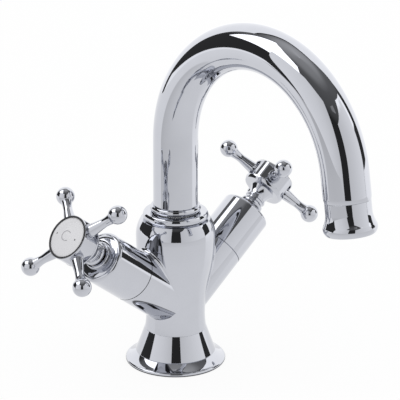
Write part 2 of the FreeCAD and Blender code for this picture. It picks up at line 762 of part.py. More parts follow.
# Outlet: a flared ring that holds the aerator, drawn downwards along the outlet
def outlet():
    y, z = arch_end()
    place = f"placement(vector(0; {y.text}; {z.text}); rotation(vector(1; 0; 0); {d.arch_angle.text}))"
    seam = d.outlet_drop
    rim = seam + d.outlet_length
    ledge = rim - d.aerator_depth
    bore = d.tube_radius - d.tube_wall
    spigot_bore = bore - d.tube_wall
    lip_foot = rim - d.lip_curve * (sine(d.flare_angle) + sine(d.lip_angle))
    widest = d.tube_radius + d.outlet_flare
    throat = widest - d.lip_curve * (1 - cosine(d.flare_angle))
    lip_end = widest - d.lip_curve * (1 - cosine(d.lip_angle))
    flare = (throat - d.tube_radius) / (1 - cosine(d.flare_angle))
    turned(
        "outlet_ring",
        place,
        (spigot_bore, seam - d.outlet_spigot),
        (bore - d.fit, seam - d.outlet_spigot),
        (bore - d.fit, seam),
        (d.tube_radius, seam),
        (d.tube_radius, lip_foot - flare * sine(d.flare_angle)),
        (throat, lip_foot, flare, "right"),
        (lip_end, rim, d.lip_curve, "left"),
        (d.outlet_bore, rim),
        (d.outlet_bore, ledge),
        (spigot_bore, ledge),
    )
    outer = d.outlet_bore - d.fit
    inner = outer - d.aerator_wall
    washer_foot = ledge + d.aerator_washer
    face = rim - d.aerator_set_back
    mesh_foot = face - d.aerator_lip * 2
    mesh_top = mesh_foot - d.mesh_thickness
    turned("aerator_washer", place, *box_ring(inner - d.aerator_lip / 2, outer, ledge, washer_foot))
    turned(
        "aerator_housing",
        place,
        (inner, washer_foot),
        (outer, washer_foot),
        (outer, face),
        (inner - d.aerator_lip, face),
        (inner - d.aerator_lip, mesh_foot),
        (inner, mesh_foot),
    )
    plate = inner - d.fit
    mesh = turned("aerator_mesh", place, *disc_outline(plate, mesh_top, mesh_foot))
    through = d.mesh_thickness + 2 * d.overcut
    for number in (1, 2, 3):
        pitch = d.mesh_pitch * number
        holes(mesh, f"mesh_ring_{number}", mesh_foot + d.overcut, d.mesh_hole, pitch, 6 * number, through)
    former = turned("aerator_former", place, *disc_outline(plate, mesh_top - d.former_thickness, mesh_top))
    through = d.former_thickness + 2 * d.overcut
    holes(former, "former_holes", mesh_top + d.overcut, d.former_hole, d.former_pitch, 8, through)


# Fixed pieces of a valve: housing, seals, lower disc and shroud
def valve_body(side, place):
    housing = turned(
        f"{side}_valve_housing",
        place,
        (disc_bore, seat + d.seat_play),
        (barrel_radius, seat + d.seat_play),
        (barrel_radius, thread_foot),
        (d.socket_radius - d.fit, thread_foot),
        (d.socket_radius - d.fit, flange_foot),
        (d.flange_radius, flange_foot),
        (d.flange_radius, flange_top),
        (d.bonnet_radius, flange_top),
        (d.bonnet_radius, bonnet_top),
        (d.gland_radius, bonnet_top),
        (d.gland_radius, gland_top),
        (rod_bore, gland_top),
        (rod_bore, stop_roof),
        (d.segment_radius + d.free_gap, stop_roof),
        (d.segment_radius + d.free_gap, thread_foot),
        (disc_bore, thread_foot),
    )
    reach = d.flange_radius + d.overcut
    rim_top = flange_foot + d.flange_rim
    spanner = flat(housing, f"{side}_spanner_flat", d.spanner_flat, reach, rim_top, flange_top)
    around(housing, [spanner], 6)
    window = new_sketch(housing, f"{side}_window")
    draw(window, *box_outline(-d.window_width / 2, turning_top + d.free_gap, d.window_width / 2, window_top))
    extrude(housing, window, "Pocket", 2 * (barrel_radius + d.overcut), both_ways=True)
    rib = (
        d.spindle_radius + d.free_gap,
        segment_foot - d.free_gap,
        d.segment_radius + 2 * d.free_gap,
        stop_roof + d.free_gap,
    )
    rib_angle = 360 - d.stop_angle - d.travel - 2 * d.stop_play
    rib_turn = 180 + d.travel / 2
    sector(housing, f"{side}_stop_rib", "Revolution", rib, rib_angle, turn=rib_turn)

    turned(f"{side}_seat_seal", place, *box_ring(d.port_outer, d.disc_radius, seat, seal_top))
    turned(
        f"{side}_flange_washer",
        place,
        *box_ring(d.socket_radius + d.fit, d.flange_radius, branch_face, flange_foot),
    )
    disc = turned(f"{side}_fixed_disc", place, *disc_outline(d.disc_radius, seal_top, fixed_top))
    ports(disc, f"{side}_fixed_port", seal_top, fixed_top, "YZ_Plane")

    cavity = d.branch_radius - d.shroud_wall
    thread = bonnet_top - d.shroud_thread
    dome = shroud_front + d.shroud_dome
    edge = d.branch_radius - d.shroud_edge
    lip = d.gland_collar_radius - d.gland_collar_edge
    turned(
        f"{side}_valve_shroud",
        place,
        (cavity, branch_face),
        (d.branch_radius - d.seam_chamfer, branch_face),
        (d.branch_radius, branch_face + d.seam_chamfer),
        (d.branch_radius, shroud_front - d.shroud_edge),
        (edge, shroud_front, d.shroud_edge, "left"),
        (d.gland_collar_radius, dome),
        (d.gland_collar_radius, gland_collar_top - d.gland_collar_edge),
        (lip, gland_collar_top, d.gland_collar_edge, "left"),
        (d.gland_radius + d.fit, gland_collar_top),
        (d.gland_radius + d.fit, bonnet_top + d.fit),
        (d.bonnet_radius + d.fit, bonnet_top + d.fit),
        (d.bonnet_radius + d.fit, thread),
        (cavity, thread),
    )


def ports(disc, name, foot, top, plane):
    """Two opposite openings through a ceramic disc."""
    corners = (d.port_inner, foot - d.overcut, d.port_outer, top + d.overcut)
    around(disc, [sector(disc, name, "Groove", corners, d.port_angle, plane=plane)], 2)


# Turning pieces inside a valve: spindle, its rings and clip, and the upper disc
def valve_spindle(side, place):
    groove = d.spindle_radius - d.spindle_ring_depth
    ring = (d.spindle_ring_depth - d.ring_play) / 2
    low = flange_top + d.spindle_ring_height
    lows = [low, low + d.spindle_ring_pitch]
    clip_bore = d.spindle_radius - d.clip_depth
    clip_top = clip_foot + d.clip_thickness
    outline = [
        (d.port_outer, turning_top),
        (d.port_outer, carrier_top),
        (d.spindle_radius, carrier_top),
    ]
    for low in lows:
        foot, top = low - ring - d.fit, low + ring + d.fit
        outline += [(d.spindle_radius, foot), (groove, foot), (groove, top), (d.spindle_radius, top)]
    tapping = spindle_top - d.screw_length
    outline += [
        (d.spindle_radius, clip_foot),
        (clip_bore, clip_foot),
        (clip_bore, clip_top),
        (d.spindle_radius, clip_top),
        (d.spindle_radius, spindle_top),
        (d.screw_radius + d.fit, spindle_top),
        (d.screw_radius + d.fit, tapping),
        (0, tapping),
    ]
    spindle = turned(f"{side}_spindle", place, (0, turning_top), *outline)
    reach = d.port_outer + d.overcut
    foot = turning_top - d.overcut
    side_cut = flat(spindle, f"{side}_carrier_flat", d.carrier_width / 2, reach, foot, carrier_top)
    around(spindle, [side_cut], 2)
    segment = (d.spindle_radius / 2, segment_foot, d.segment_radius, segment_top)
    sector(spindle, f"{side}_stop_segment", "Revolution", segment, d.stop_angle)
    inner, outer = d.spindle_radius, d.port_outer - d.free_gap
    lug = sector(
        spindle,
        f"{side}_lug",
        "Revolution",
        (inner, turning_top - d.lug_depth, outer, turning_top + d.free_gap),
        d.lug_angle,
        plane="YZ_Plane",
    )
    around(spindle, [lug], 2)
    ring_pair(f"{side}_spindle_o_rings", place, groove + ring, ring, lows)
    turned(f"{side}_spindle_clip", place, *box_ring(clip_bore, d.clip_radius, clip_foot, clip_top))

    outline = disc_outline(d.disc_radius - d.fit, turning_foot, turning_top)
    disc = turned(f"{side}_turning_disc", place, *outline)
    ports(disc, f"{side}_turning_port", turning_foot, turning_top, "XZ_Plane")
    slot = (inner - d.fit, turning_top - d.lug_depth - d.fit, outer + d.fit, turning_top + d.overcut)
    notch = sector(disc, f"{side}_lug_slot", "Groove", slot, d.lug_angle + 2 * d.stop_play, plane="YZ_Plane")
    around(disc, [notch], 2)


# Cross handle: hub, four screwed arms, index disc and the screw beneath it
def handle(side, sign, clocking):
    place = valve_place(sign, clocking)
    disc_foot = skirt_foot + d.skirt_bead + d.skirt_gap
    disc_top = disc_foot + d.disc_rim_height
    bell = hub_back - disc_top
    bell_rise = d.bell_radius - d.skirt_neck
    hub = turned(
        f"{side}_handle_hub",
        place,
        (rod_bore, skirt_foot),
        (d.skirt_neck, skirt_foot),
        (d.skirt_neck, skirt_foot + d.skirt_bead, bulge(d.skirt_bead, d.skirt_radius - d.skirt_neck), "left"),
        (d.skirt_neck, disc_foot),
        (d.disc_rim_radius, disc_foot),
        (d.disc_rim_radius, disc_top),
        (d.skirt_neck, disc_top),
        (d.bell_radius, hub_back, quarter(bell_rise, bell), "right"),
        (d.hub_radius - d.hub_edge, hub_back),
        (d.hub_radius, hub_back + d.hub_edge),
        (d.hub_radius, hub_face - d.hub_edge),
        (d.hub_radius - d.hub_edge, hub_face),
        (d.index_radius, hub_face),
        (d.index_radius, recess_floor),
        (d.screw_head_radius + d.free_gap, recess_floor),
        (d.screw_head_radius + d.free_gap, web_top),
        (d.screw_radius + d.free_gap, web_top),
        (d.screw_radius + d.free_gap, spindle_top),
        (rod_bore, spindle_top),
    )
    reach = d.hub_radius + d.overcut
    mill = flat(hub, f"{side}_hub_flat", d.hub_flat, reach, hub_back + d.hub_rim, bezel)
    bottom = d.hub_flat - d.arm_stud_length - d.free_gap
    tapping = drill(
        hub,
        f"{side}_arm_hole",
        "XZ_Plane",
        (0, arm_line),
        (d.hub_radius, arm_line),
        box_outline(bottom, arm_line, reach, arm_line + d.arm_stud + d.fit),
    )
    around(hub, [mill, tapping], 4)

    disc_edge = d.index_radius - d.fit
    disc_rim = hub_face - d.index_sink
    turned(
        f"{side}_index_disc",
        place,
        (0, recess_floor),
        (disc_edge, recess_floor),
        (disc_edge, disc_rim),
        (0, disc_rim + d.index_crown, bulge(2 * disc_edge, d.index_crown), "left"),
    )
    head_top = web_top + d.screw_head_height
    screw = turned(
        f"{side}_handle_screw",
        place,
        (0, web_top - d.screw_length),
        (d.screw_radius, web_top - d.screw_length),
        (d.screw_radius, web_top),
        (d.screw_head_radius, web_top),
        (d.screw_head_radius, head_top),
        (0, head_top),
    )
    slot = new_sketch(screw, f"{side}_screw_slot", "XY_Plane", lift=head_top)
    reach = d.screw_head_radius + d.overcut
    draw(slot, *box_outline(-reach, -d.screw_slot / 2, reach, d.screw_slot / 2))
    extrude(screw, slot, "Pocket", d.screw_slot)
    for number in range(4):
        arm(f"{side}_arm_{number + 1}", valve_place(sign, clocking + 90 * number, arm_line))


def arm(label, place):
    """One screwed arm, turned about its own length, which lies along X."""
    body = new_body(label, place)
    sketch = new_sketch(body, f"{label}_outline")
    root_end = d.hub_flat - d.arm_stud_length
    collar_end = d.hub_flat + d.arm_collar_height
    neck = collar_end + d.arm_taper
    crease = d.arm_reach - root(square(d.ball_radius) - square(d.arm_crease))
    pole = d.ball_radius * 0.6
    crown = d.arm_reach + root(square(d.ball_radius) - square(pole))
    draw(
        sketch,
        (root_end, 0),
        [
            (d.arm_reach + d.ball_radius, 0),
            (crown, pole, d.ball_radius, "left"),
            (d.arm_reach, d.ball_radius, d.ball_radius, "left"),
            (crease, d.arm_crease, d.ball_radius, "left"),
            (neck, d.arm_neck, d.flare_curve, "right"),
            (collar_end, d.arm_root),
            (collar_end, d.arm_collar),
            (d.hub_flat, d.arm_collar),
            (d.hub_flat, d.arm_stud),
            (root_end, d.arm_stud),
        ],
    )
    turn_about(body, sketch, "Revolution", axis="H_Axis")


base_ring()
body_casting()
stop_screw()
spout()
outlet()
for side, sign, clocking in (("cold", -1, d.cold_clocking), ("hot", 1, d.hot_clocking)):
    place = valve_place(sign)
    valve_body(side, place)
    valve_spindle(side, place)
    handle(side, sign, clocking)
doc.recompute()

for thing in doc.Objects:
    if "Invalid" in thing.State or "Error" in thing.State:
        raise RuntimeError(f"{thing.Label} could not be made: {thing.State}")
for part in parts:
    if part.Shape.isNull() or not part.Shape.isValid():
        raise RuntimeError(f"{part.Label} has no sound shape")

os.makedirs("parts", exist_ok=True)
for part in parts:
    part.Shape.exportStep(f"parts/{part.Label}.step")
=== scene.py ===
import json
import math

import bpy
import numpy as np
from bpy.props import FloatProperty, FloatVectorProperty, PointerProperty
from mathutils import Matrix, Vector


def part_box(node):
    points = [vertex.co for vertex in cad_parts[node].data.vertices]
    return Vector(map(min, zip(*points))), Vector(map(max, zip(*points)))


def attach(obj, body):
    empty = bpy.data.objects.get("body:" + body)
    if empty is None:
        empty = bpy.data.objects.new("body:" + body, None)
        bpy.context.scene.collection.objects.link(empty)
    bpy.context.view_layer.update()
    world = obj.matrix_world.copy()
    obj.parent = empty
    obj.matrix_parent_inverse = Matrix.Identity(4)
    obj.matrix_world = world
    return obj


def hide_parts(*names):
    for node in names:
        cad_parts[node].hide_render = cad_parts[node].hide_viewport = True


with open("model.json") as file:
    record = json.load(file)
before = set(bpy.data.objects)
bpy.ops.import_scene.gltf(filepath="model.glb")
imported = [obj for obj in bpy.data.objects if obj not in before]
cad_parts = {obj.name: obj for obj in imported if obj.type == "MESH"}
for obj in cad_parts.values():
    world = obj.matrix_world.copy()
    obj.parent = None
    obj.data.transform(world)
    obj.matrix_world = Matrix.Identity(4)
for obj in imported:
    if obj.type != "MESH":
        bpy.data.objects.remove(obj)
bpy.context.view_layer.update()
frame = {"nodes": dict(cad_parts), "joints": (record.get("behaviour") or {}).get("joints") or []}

bl_info = {
    "name": "Basin tap",
    "version": (1, 0, 0),
    "blender": (4, 5, 0),
    "location": "View3D > Sidebar > Basin tap",
    "description": "Dresses a two-handle basin tap with a swan-neck spout",
    "category": "Object",
}

# Outlines are written in millimetres and the scene is in metres
MM = 0.001
# Points around a turned piece, an arm, the swan neck, a dot and the floor
AROUND, ARM_AROUND, TUBE_AROUND, DOT_AROUND, FLOOR_AROUND = 160, 96, 128, 24, 240
# Longest steps along an outline: an arc's turn, and runs in general, on the tube and on flats and discs
ARC_STEP = math.radians(5.0)
RUN_STEP, TUBE_STEP, FINE_STEP = 3.0, 1.6, 0.8
# Steps around a rounded corner
CORNER_STEPS = 4
# A corner that turns less stays sharp, and a rounding takes up no more than this share of a run
LEAST_TURN, CORNER_SHARE = 0.02, 0.45
# Points closer than the first are one point, and a ring smaller than the second is a pole
SAME_POINT, POLE_SIZE = 1e-5, 1e-6
# Each valve's side with the letter on its index disc
SIDES = (("cold", "C"), ("hot", "H"))


def linear(code):
    """An sRGB hex colour as linear red, green, blue and alpha."""
    parts = [int(code[i:i + 2], 16) / 255 for i in (0, 2, 4)]
    return tuple(p / 12.92 if p <= 0.04045 else ((p + 0.055) / 1.055) ** 2.4 for p in parts) + (1.0,)


def length(name, description, default):
    """A size property, given in millimetres."""
    return FloatProperty(
        name=name, description=description, default=default * MM, min=0.0, unit="LENGTH", precision=5
    )


def colour(name, description, code):
    """A colour property, given as an sRGB hex value."""
    return FloatVectorProperty(
        name=name, description=description, default=linear(code), size=4, min=0.0, max=1.0, subtype="COLOR"
    )


def angle(name, description, default):
    """An angle property, given in degrees."""
    return FloatProperty(name=name, description=description, default=math.radians(default), unit="ROTATION")


# Places in the frame

def valve_place(side):
    """A valve's own frame: its axis is Z and starts where the two axes cross."""
    joint = next(j for j in frame["joints"] if j["name"] == f"{side}_quarter_turn")
    axis = Vector(joint["axis"])
    lean = Matrix.Rotation(math.atan2(axis.x, axis.z), 4, "Y")
    return Matrix.Translation(Vector(joint["pos_m"])) @ lean


def points_of(node, place):
    """A node's points in millimetres, seen in the given frame."""
    mesh = frame["nodes"][node].data
    flat = np.empty(len(mesh.vertices) * 3)
    mesh.vertices.foreach_get("co", flat)
    turn = np.array(place.inverted())
    return (flat.reshape(-1, 3) @ turn[:3, :3].T + turn[:3, 3]) / MM


def span(node, place):
    """Lowest and highest station of a node along Z, and its widest radius."""
    points = points_of(node, place)
    return points[:, 2].min(), points[:, 2].max(), np.hypot(points[:, 0], points[:, 1]).max()


def arm_place(side, number):
    """An arm's own frame: its length is X and starts on the handle's axis."""
    valve = valve_place(side)
    middle = points_of(f"{side}_arm_{number}", valve)
    reach = (middle.min(axis=0) + middle.max(axis=0)) / 2
    turn = Matrix.Rotation(math.atan2(reach[1], reach[0]), 4, "Z")
    return valve @ Matrix.Translation((0, 0, reach[2] * MM)) @ turn


# Outlines and skins

class Run:
    """A line or an arc from one corner of an outline to the next."""

    def __init__(self, start, end, bend):
        self.start, self.end = np.array(start, float), np.array(end, float)
        chord = self.end - self.start
        size = np.hypot(*chord)
        self.half = math.copysign(math.asin(min(1.0, size / 2 / abs(bend))), bend) if bend else 0.0
        self.heading = math.atan2(chord[1], chord[0])
        self.length = size * self.half / math.sin(self.half) if bend else size
        self.low, self.high = 0.0, 1.0

    def at(self, share):
        """Point and direction at a share of the run."""
        heading = self.heading + self.half * (2 * share - 1)
        if not self.half:
            return self.start + (self.end - self.start) * share, heading
        radius = self.length / (2 * self.half)
        first = self.heading - self.half
        middle = self.start + radius * np.array((-math.sin(first), math.cos(first)))
        return middle - radius * np.array((-math.sin(heading), math.cos(heading))), heading

    def shares(self, step):
        """Even shares of what is left of the run."""
        turned = abs(self.half) * 2 * (self.high - self.low) / ARC_STEP
        along = self.length * (self.high - self.low) / step
        count = max(1, math.ceil(turned), math.ceil(along))
        return np.linspace(self.low, self.high, count + 1)


def outline(*corners, edge=0.25, step=RUN_STEP):
    """Points with outward normals along lines and arcs whose corners are rounded.

    A corner is (across, along) with the radius of the arc that leads to it and its own rounding.
    The arc's radius is positive where it bulges out to the right of the way.
    """
    runs = []
    for a, b in zip(corners, corners[1:]):
        runs.append(Run(a[:2], b[:2], b[2] if len(b) > 2 else 0.0))
    rounds = [c[3] if len(c) > 3 else edge for c in corners]
    # Cut both runs back where they meet in a corner
    bends = []
    for one, two, size in zip(runs, runs[1:], rounds[1:]):
        turn = two.at(0.0)[1] - one.at(1.0)[1]
        turn = (turn + math.pi) % (2 * math.pi) - math.pi
        cut = 0.0
        if abs(turn) > LEAST_TURN:
            longest = CORNER_SHARE * min(one.length, two.length)
            cut = min(size * math.tan(abs(turn) / 2), longest)
            one.high -= cut / one.length
            two.low += cut / two.length
        bends.append((turn, cut))
    # Step along what is left of each run, and around each corner on a cubic curve close to an arc
    path = []
    for number, run in enumerate(runs):
        for share in run.shares(step):
            path.append(run.at(share))
        if number < len(bends) and bends[number][1]:
            turn, cut = bends[number]
            (p, a), (q, b) = run.at(run.high), runs[number + 1].at(runs[number + 1].low)
            reach = cut / math.tan(abs(turn) / 2) * 4 / 3 * math.tan(abs(turn) / 4)
            u = p + reach * np.array((math.cos(a), math.sin(a)))
            v = q - reach * np.array((math.cos(b), math.sin(b)))
            for t in np.linspace(0, 1, CORNER_STEPS + 1)[1:-1]:
                s = 1 - t
                point = s**3 * p + 3 * s * s * t * u + 3 * s * t * t * v + t**3 * q
                way = s * s * (u - p) + 2 * s * t * (v - u) + t * t * (q - v)
                path.append((point, math.atan2(way[1], way[0])))
    kept = [path[0]]
    for point, heading in path[1:]:
        if np.hypot(*(point - kept[-1][0])) > SAME_POINT:
            kept.append((point, heading))
    return [(p[0], p[1], math.sin(h), -math.cos(h)) for p, h in kept]


def loop(*corners, **options):
    """Points with outward normals around an outline that closes on its first corner."""
    return outline(*corners, corners[0], **options)[:-1]


def circle(count=AROUND):
    """Directions around an axis."""
    turn = np.linspace(0, 2 * math.pi, count, endpoint=False)
    return np.stack([np.cos(turn), np.sin(turn)], axis=1)


def turned(profile, ways=None):
    """Rings of a piece turned about Z from an outline of radius and height."""
    ways = circle() if ways is None else ways
    rings = []
    for r, h, nr, nh in profile:
        points = np.column_stack([ways * r, np.full(len(ways), h)])
        normals = np.column_stack([ways * nr, np.full(len(ways), nh)])
        rings.append((points, normals))
    return rings


def skin(name, rings, place=None, closed=False):
    """A smooth piece over rings of points that carry their exact normals."""
    points, normals, faces, starts = [], [], [], []
    for ring, ways in rings:
        pole = np.ptp(ring, axis=0).max() < POLE_SIZE
        starts.append((len(points), pole))
        points.extend(ring[:1] if pole else ring)
        normals.extend(ways.mean(axis=0, keepdims=True) if pole else ways)
    pairs = list(zip(starts, starts[1:]))
    if closed:
        pairs.append((starts[-1], starts[0]))
    count = max(len(ring) for ring, _ in rings)
    for (low, low_pole), (high, high_pole) in pairs:
        for i in range(count):
            j = (i + 1) % count
            corners = [low] if low_pole else [low + i, low + j]
            corners += [high] if high_pole else [high + j, high + i]
            faces.append(corners)
    normals = np.array(normals)
    normals /= np.linalg.norm(normals, axis=1, keepdims=True)
    mesh = bpy.data.meshes.new(name)
    mesh.from_pydata((np.array(points) * MM).tolist(), [], faces)
    mesh.polygons.foreach_set("use_smooth", np.ones(len(faces), bool))
    mesh.normals_split_custom_set_from_vertices(normals.tolist())
    return stand(name, mesh, place)


def stand(name, mesh, place=None):
    """An object for a mesh, at its place."""
    piece = bpy.data.objects.new(name, mesh)
    bpy.context.scene.collection.objects.link(piece)
    piece.matrix_world = place if place is not None else Matrix.Identity(4)
    return piece


def finish_piece(piece, body, finish, slot, *nodes):
    """Give a piece its finish and tie it to the frame."""
    piece.data.materials.clear()
    piece.data.materials.append(finish)
    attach(piece, body)
    if nodes:
        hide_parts(*nodes)


# Finishes

def add(tree, kind, settings=None, inputs=None):
    """Add a node with its settings, its values and its links."""
    node = tree.nodes.new(kind)
    for name, value in (settings or {}).items():
        setattr(node, name, value)
    for name, value in (inputs or {}).items():
        if isinstance(value, bpy.types.NodeSocket):
            tree.links.new(value, node.inputs[name])
        else:
            node.inputs[name].default_value = value
    return node


def per_mm(size):
    """Texture scale for a pattern whose grain has this size in millimetres."""
    return 1 / (size * MM)


def new_material(name):
    """An empty node material with its output."""
    material = bpy.data.materials.get(name)
    if material:
        return material, None, None
    material = bpy.data.materials.new(name)
    material.use_nodes = True
    tree = material.node_tree
    tree.nodes.clear()
    return material, tree, add(tree, "ShaderNodeOutputMaterial")


# What the noise texture's values mostly lie between
DRIFT_RANGE = (0.3, 0.7)


def grained(name, colours, metallic, rough, grain, bump=0.0, bump_grain=1.0, sheen=0.5):
    """A finish whose colour and gloss drift over a grain of a given size, with a fine relief."""
    material, tree, output = new_material(name)
    if tree is None:
        return material
    place = add(tree, "ShaderNodeTexCoord").outputs["Object"]
    drift = add(tree, "ShaderNodeTexNoise", None, {"Vector": place, "Scale": per_mm(grain), "Detail": 3.0})
    tint = add(
        tree,
        "ShaderNodeMix",
        {"data_type": "RGBA"},
        {"Factor": drift.outputs["Fac"], "A": colours[0], "B": colours[1]},
    )
    gloss = add(
        tree,
        "ShaderNodeMapRange",
        None,
        {
            "Value": drift.outputs["Fac"],
            "From Min": DRIFT_RANGE[0],
            "From Max": DRIFT_RANGE[1],
            "To Min": rough[0],
            "To Max": rough[1],
        },
    )
    shader = add(
        tree,
        "ShaderNodeBsdfPrincipled",
        None,
        {
            "Base Color": tint.outputs["Result"],
            "Metallic": metallic,
            "Roughness": gloss.outputs["Result"],
            "Specular IOR Level": sheen,
        },
    )
    if bump:
        relief = add(tree, "ShaderNodeTexNoise", None, {"Vector": place, "Scale": per_mm(bump_grain)})
        raised = add(
            tree,
            "ShaderNodeBump",
            None,
            {"Strength": 1.0, "Distance": bump * MM, "Height": relief.outputs["Fac"]},
        )
        tree.links.new(raised.outputs["Normal"], shader.inputs["Normal"])
    tree.links.new(shader.outputs["BSDF"], output.inputs["Surface"])
    return material


def polished_chrome():
    """Bright chromium plate over polished brass: a cool mirror with a barely seen haze from the buffing."""
    looks = bpy.context.scene.tap_finishes
    return grained(
        "polished_chrome_plate",
        (looks.chrome, looks.chrome_haze),
        metallic=1.0,
        rough=(0.012, 0.035),
        grain=9.0,
    )


def index_enamel():
    """Satin white enamel on the index discs: pale, slightly cool grey, with a faint sheen."""
    looks = bpy.context.scene.tap_finishes
    return grained(
        "satin_white_enamel",
        (looks.enamel, looks.enamel_shade),
        metallic=0.0,
        rough=(0.16, 0.2),
        grain=6.0,
        sheen=0.08,
    )


def letter_paint():
    """Grey paint in the letters: flat, a little darker than the disc."""
    looks = bpy.context.scene.tap_finishes
    return grained(
        "grey_letter_paint",
        (looks.letter, looks.letter_shade),
        metallic=0.0,
        rough=(0.45, 0.6),
        grain=0.8,
    )


def shade_ring_and_dot_paint():
    """Dark paint for the ring of painted shade and dark reflection around a disc, and for the dots beside its
    letter: matt and nearly black.
    """
    return grained(
        "dark_dot_paint",
        (linear("232327"), linear("2d2d31")),
        metallic=0.0,
        rough=(0.5, 0.65),
        grain=0.3,
    )


def turned_brass():
    """Machined brass, bare inside the tap: warm yellow with a dull drift."""
    return grained(
        "machined_brass",
        (linear("b8954f"), linear("a5823f")),
        metallic=1.0,
        rough=(0.22, 0.38),
        grain=3.0,
        bump=0.003,
        bump_grain=0.4,
    )


def sintered_alumina():
    """Lapped alumina ceramic: cream white with a smooth gloss."""
    return grained(
        "lapped_alumina",
        (linear("efece2"), linear("e4dfd2")),
        metallic=0.0,
        rough=(0.12, 0.22),
        grain=1.5,
    )


def seal_rubber():
    """Moulded nitrile rubber: near black, matt with a slight bloom."""
    return grained(
        "black_nitrile_rubber",
        (linear("1b1b1c"), linear("28282a")),
        metallic=0.0,
        rough=(0.5, 0.68),
        grain=1.2,
        bump=0.004,
        bump_grain=0.3,
    )


def fibre_board():
    """Pressed sealing fibre: red-brown with pale flecks."""
    return grained(
        "red_sealing_fibre",
        (linear("7d3b2b"), linear("97503c")),
        metallic=0.0,
        rough=(0.7, 0.85),
        grain=0.8,
        bump=0.01,
        bump_grain=0.4,
    )


def acetal():
    """Moulded white acetal: milky, with a satin skin."""
    return grained(
        "white_acetal",
        (linear("e9e8e3"), linear("dedcd5")),
        metallic=0.0,
        rough=(0.3, 0.42),
        grain=2.0,
        bump=0.003,
        bump_grain=0.5,
    )


def stainless():
    """Rolled stainless steel: grey with a fine satin drift."""
    return grained(
        "satin_stainless_steel",
        (linear("a8a7a3"), linear("979692")),
        metallic=1.0,
        rough=(0.2, 0.34),
        grain=2.0,
        bump=0.002,
        bump_grain=0.3,
    )


# Sizes and colours that a user would change

class TapSizes(bpy.types.PropertyGroup):
    """Sizes of the visible pieces."""

    base_bore: length("Base bore", "Bore of the base ring", 18.05)
    base_foot: length("Base foot", "Where the base ring's slope ends under the body's foot", 20.8)
    rim_height: length("Rim height", "Height of the base ring's round rim", 2.4)
    rim_bulge: length("Rim bulge", "How far the base ring's rim rounds out", 1.0)
    cove_start: length("Cove start", "Flat between the rim and the slope", 0.2)
    cove_curve: length("Cove curve", "Hollow of the base ring's slope", 24.0)
    gasket_radius: length("Gasket radius", "Recess for the gasket under the base ring", 23.5)
    gasket_depth: length("Gasket depth", "Depth of that recess", 1.6)
    flare_neck: length("Flare neck", "Upper end of the foot's flare", 16.8)
    flare_top: length("Flare top", "Height of the upper end of the foot's flare", 19.3)
    tube_wall: length("Tube wall", "Wall of the swan neck", 1.4)
    arch_radius: length("Arch radius", "Swan neck's arch on its centre line", 60.9)
    spout_rise: length("Spout rise", "Straight tube under the arch", 36.4)
    arch_angle: angle("Arch angle", "Turn of the swan neck's arch", 170.5)
    outlet_drop: length("Outlet drop", "Straight tube between the arch and the outlet", 13.3)
    end_curl: length("End curl", "How much of the tube's end curls in", 2.4)
    end_tuck: length("End tuck", "How far the tube's end curls in", 0.35)
    flare_angle: angle("Flare angle", "Slope of the outlet ring above its lip", 28.0)
    lip_curve: length("Lip curve", "Round of the outlet ring's lip", 4.2)
    lip_angle: angle("Lip angle", "Slope of the lip at its lower end", 45.0)
    shroud_edge: length("Shroud edge", "Round front edge of a valve shroud", 2.0)
    hub_flat: length("Hub flat", "A hub's four flats from its axis", 10.5)
    hub_rim: length("Hub rim", "Round rim behind a hub's flats", 2.4)
    hub_edge: length("Hub edge", "Rounding of a hub's rims", 0.7)
    ball_radius: length("Ball radius", "Ball at an arm's end", 4.9)
    arm_neck: length("Arm neck", "Thinnest part of an arm", 2.45)
    # Width of the ring of painted shade and dark reflection around an index disc
    index_line: length("Index line", "Dark line around an index disc", 0.95)
    letter_height: length("Letter height", "Type size of the letters on the index discs", 8.6)


class TapFinishes(bpy.types.PropertyGroup):
    """Colours of the finishes and of the studio."""

    chrome: colour("Chrome", "Polished chrome", "c6c8cf")
    chrome_haze: colour("Chrome haze", "Chrome where the buffing left a haze", "c1c3ca")
    enamel: colour("Enamel", "Index discs", "d9d9dc")
    enamel_shade: colour("Enamel shade", "Index discs where the enamel is thinner", "d6d6d9")
    letter: colour("Letter", "Paint in the letters", "98979c")
    letter_shade: colour("Letter shade", "Paint in the letters where it is thin", "a6a5aa")
    floor: colour("Floor", "Studio floor", "fafafa")


# Pieces

class TAP_OT_base_ring(bpy.types.Operator):
    """Turn the base ring with its round rim and hollow slope"""

    bl_idname = "tap.base_ring"
    bl_label = "Base ring"

    def execute(self, context):
        s = context.scene.tap_sizes
        foot, top, radius = span("base_ring", Matrix.Identity(4))
        rim = radius - s.rim_bulge / MM
        height = s.rim_height / MM
        cove = rim - s.cove_start / MM
        inner, bore = s.base_foot / MM, s.base_bore / MM
        gasket, depth = s.gasket_radius / MM, s.gasket_depth / MM
        bulge = (height**2 / 4 + (s.rim_bulge / MM) ** 2) / (2 * s.rim_bulge / MM)
        rim_edge = 0.15
        profile = loop(
            (gasket, depth / 2),
            (gasket, foot),
            (rim, foot),
            (rim, height, bulge, rim_edge),
            (cove, height, 0, rim_edge),
            (inner, top, -s.cove_curve / MM),
            (bore, top),
            (bore, depth),
            (gasket, depth),
        )
        piece = skin("base_ring_turned", turned(profile), closed=True)
        finish_piece(piece, "tap_body", polished_chrome(), "polished_chrome", "base_ring")
        return {"FINISHED"}


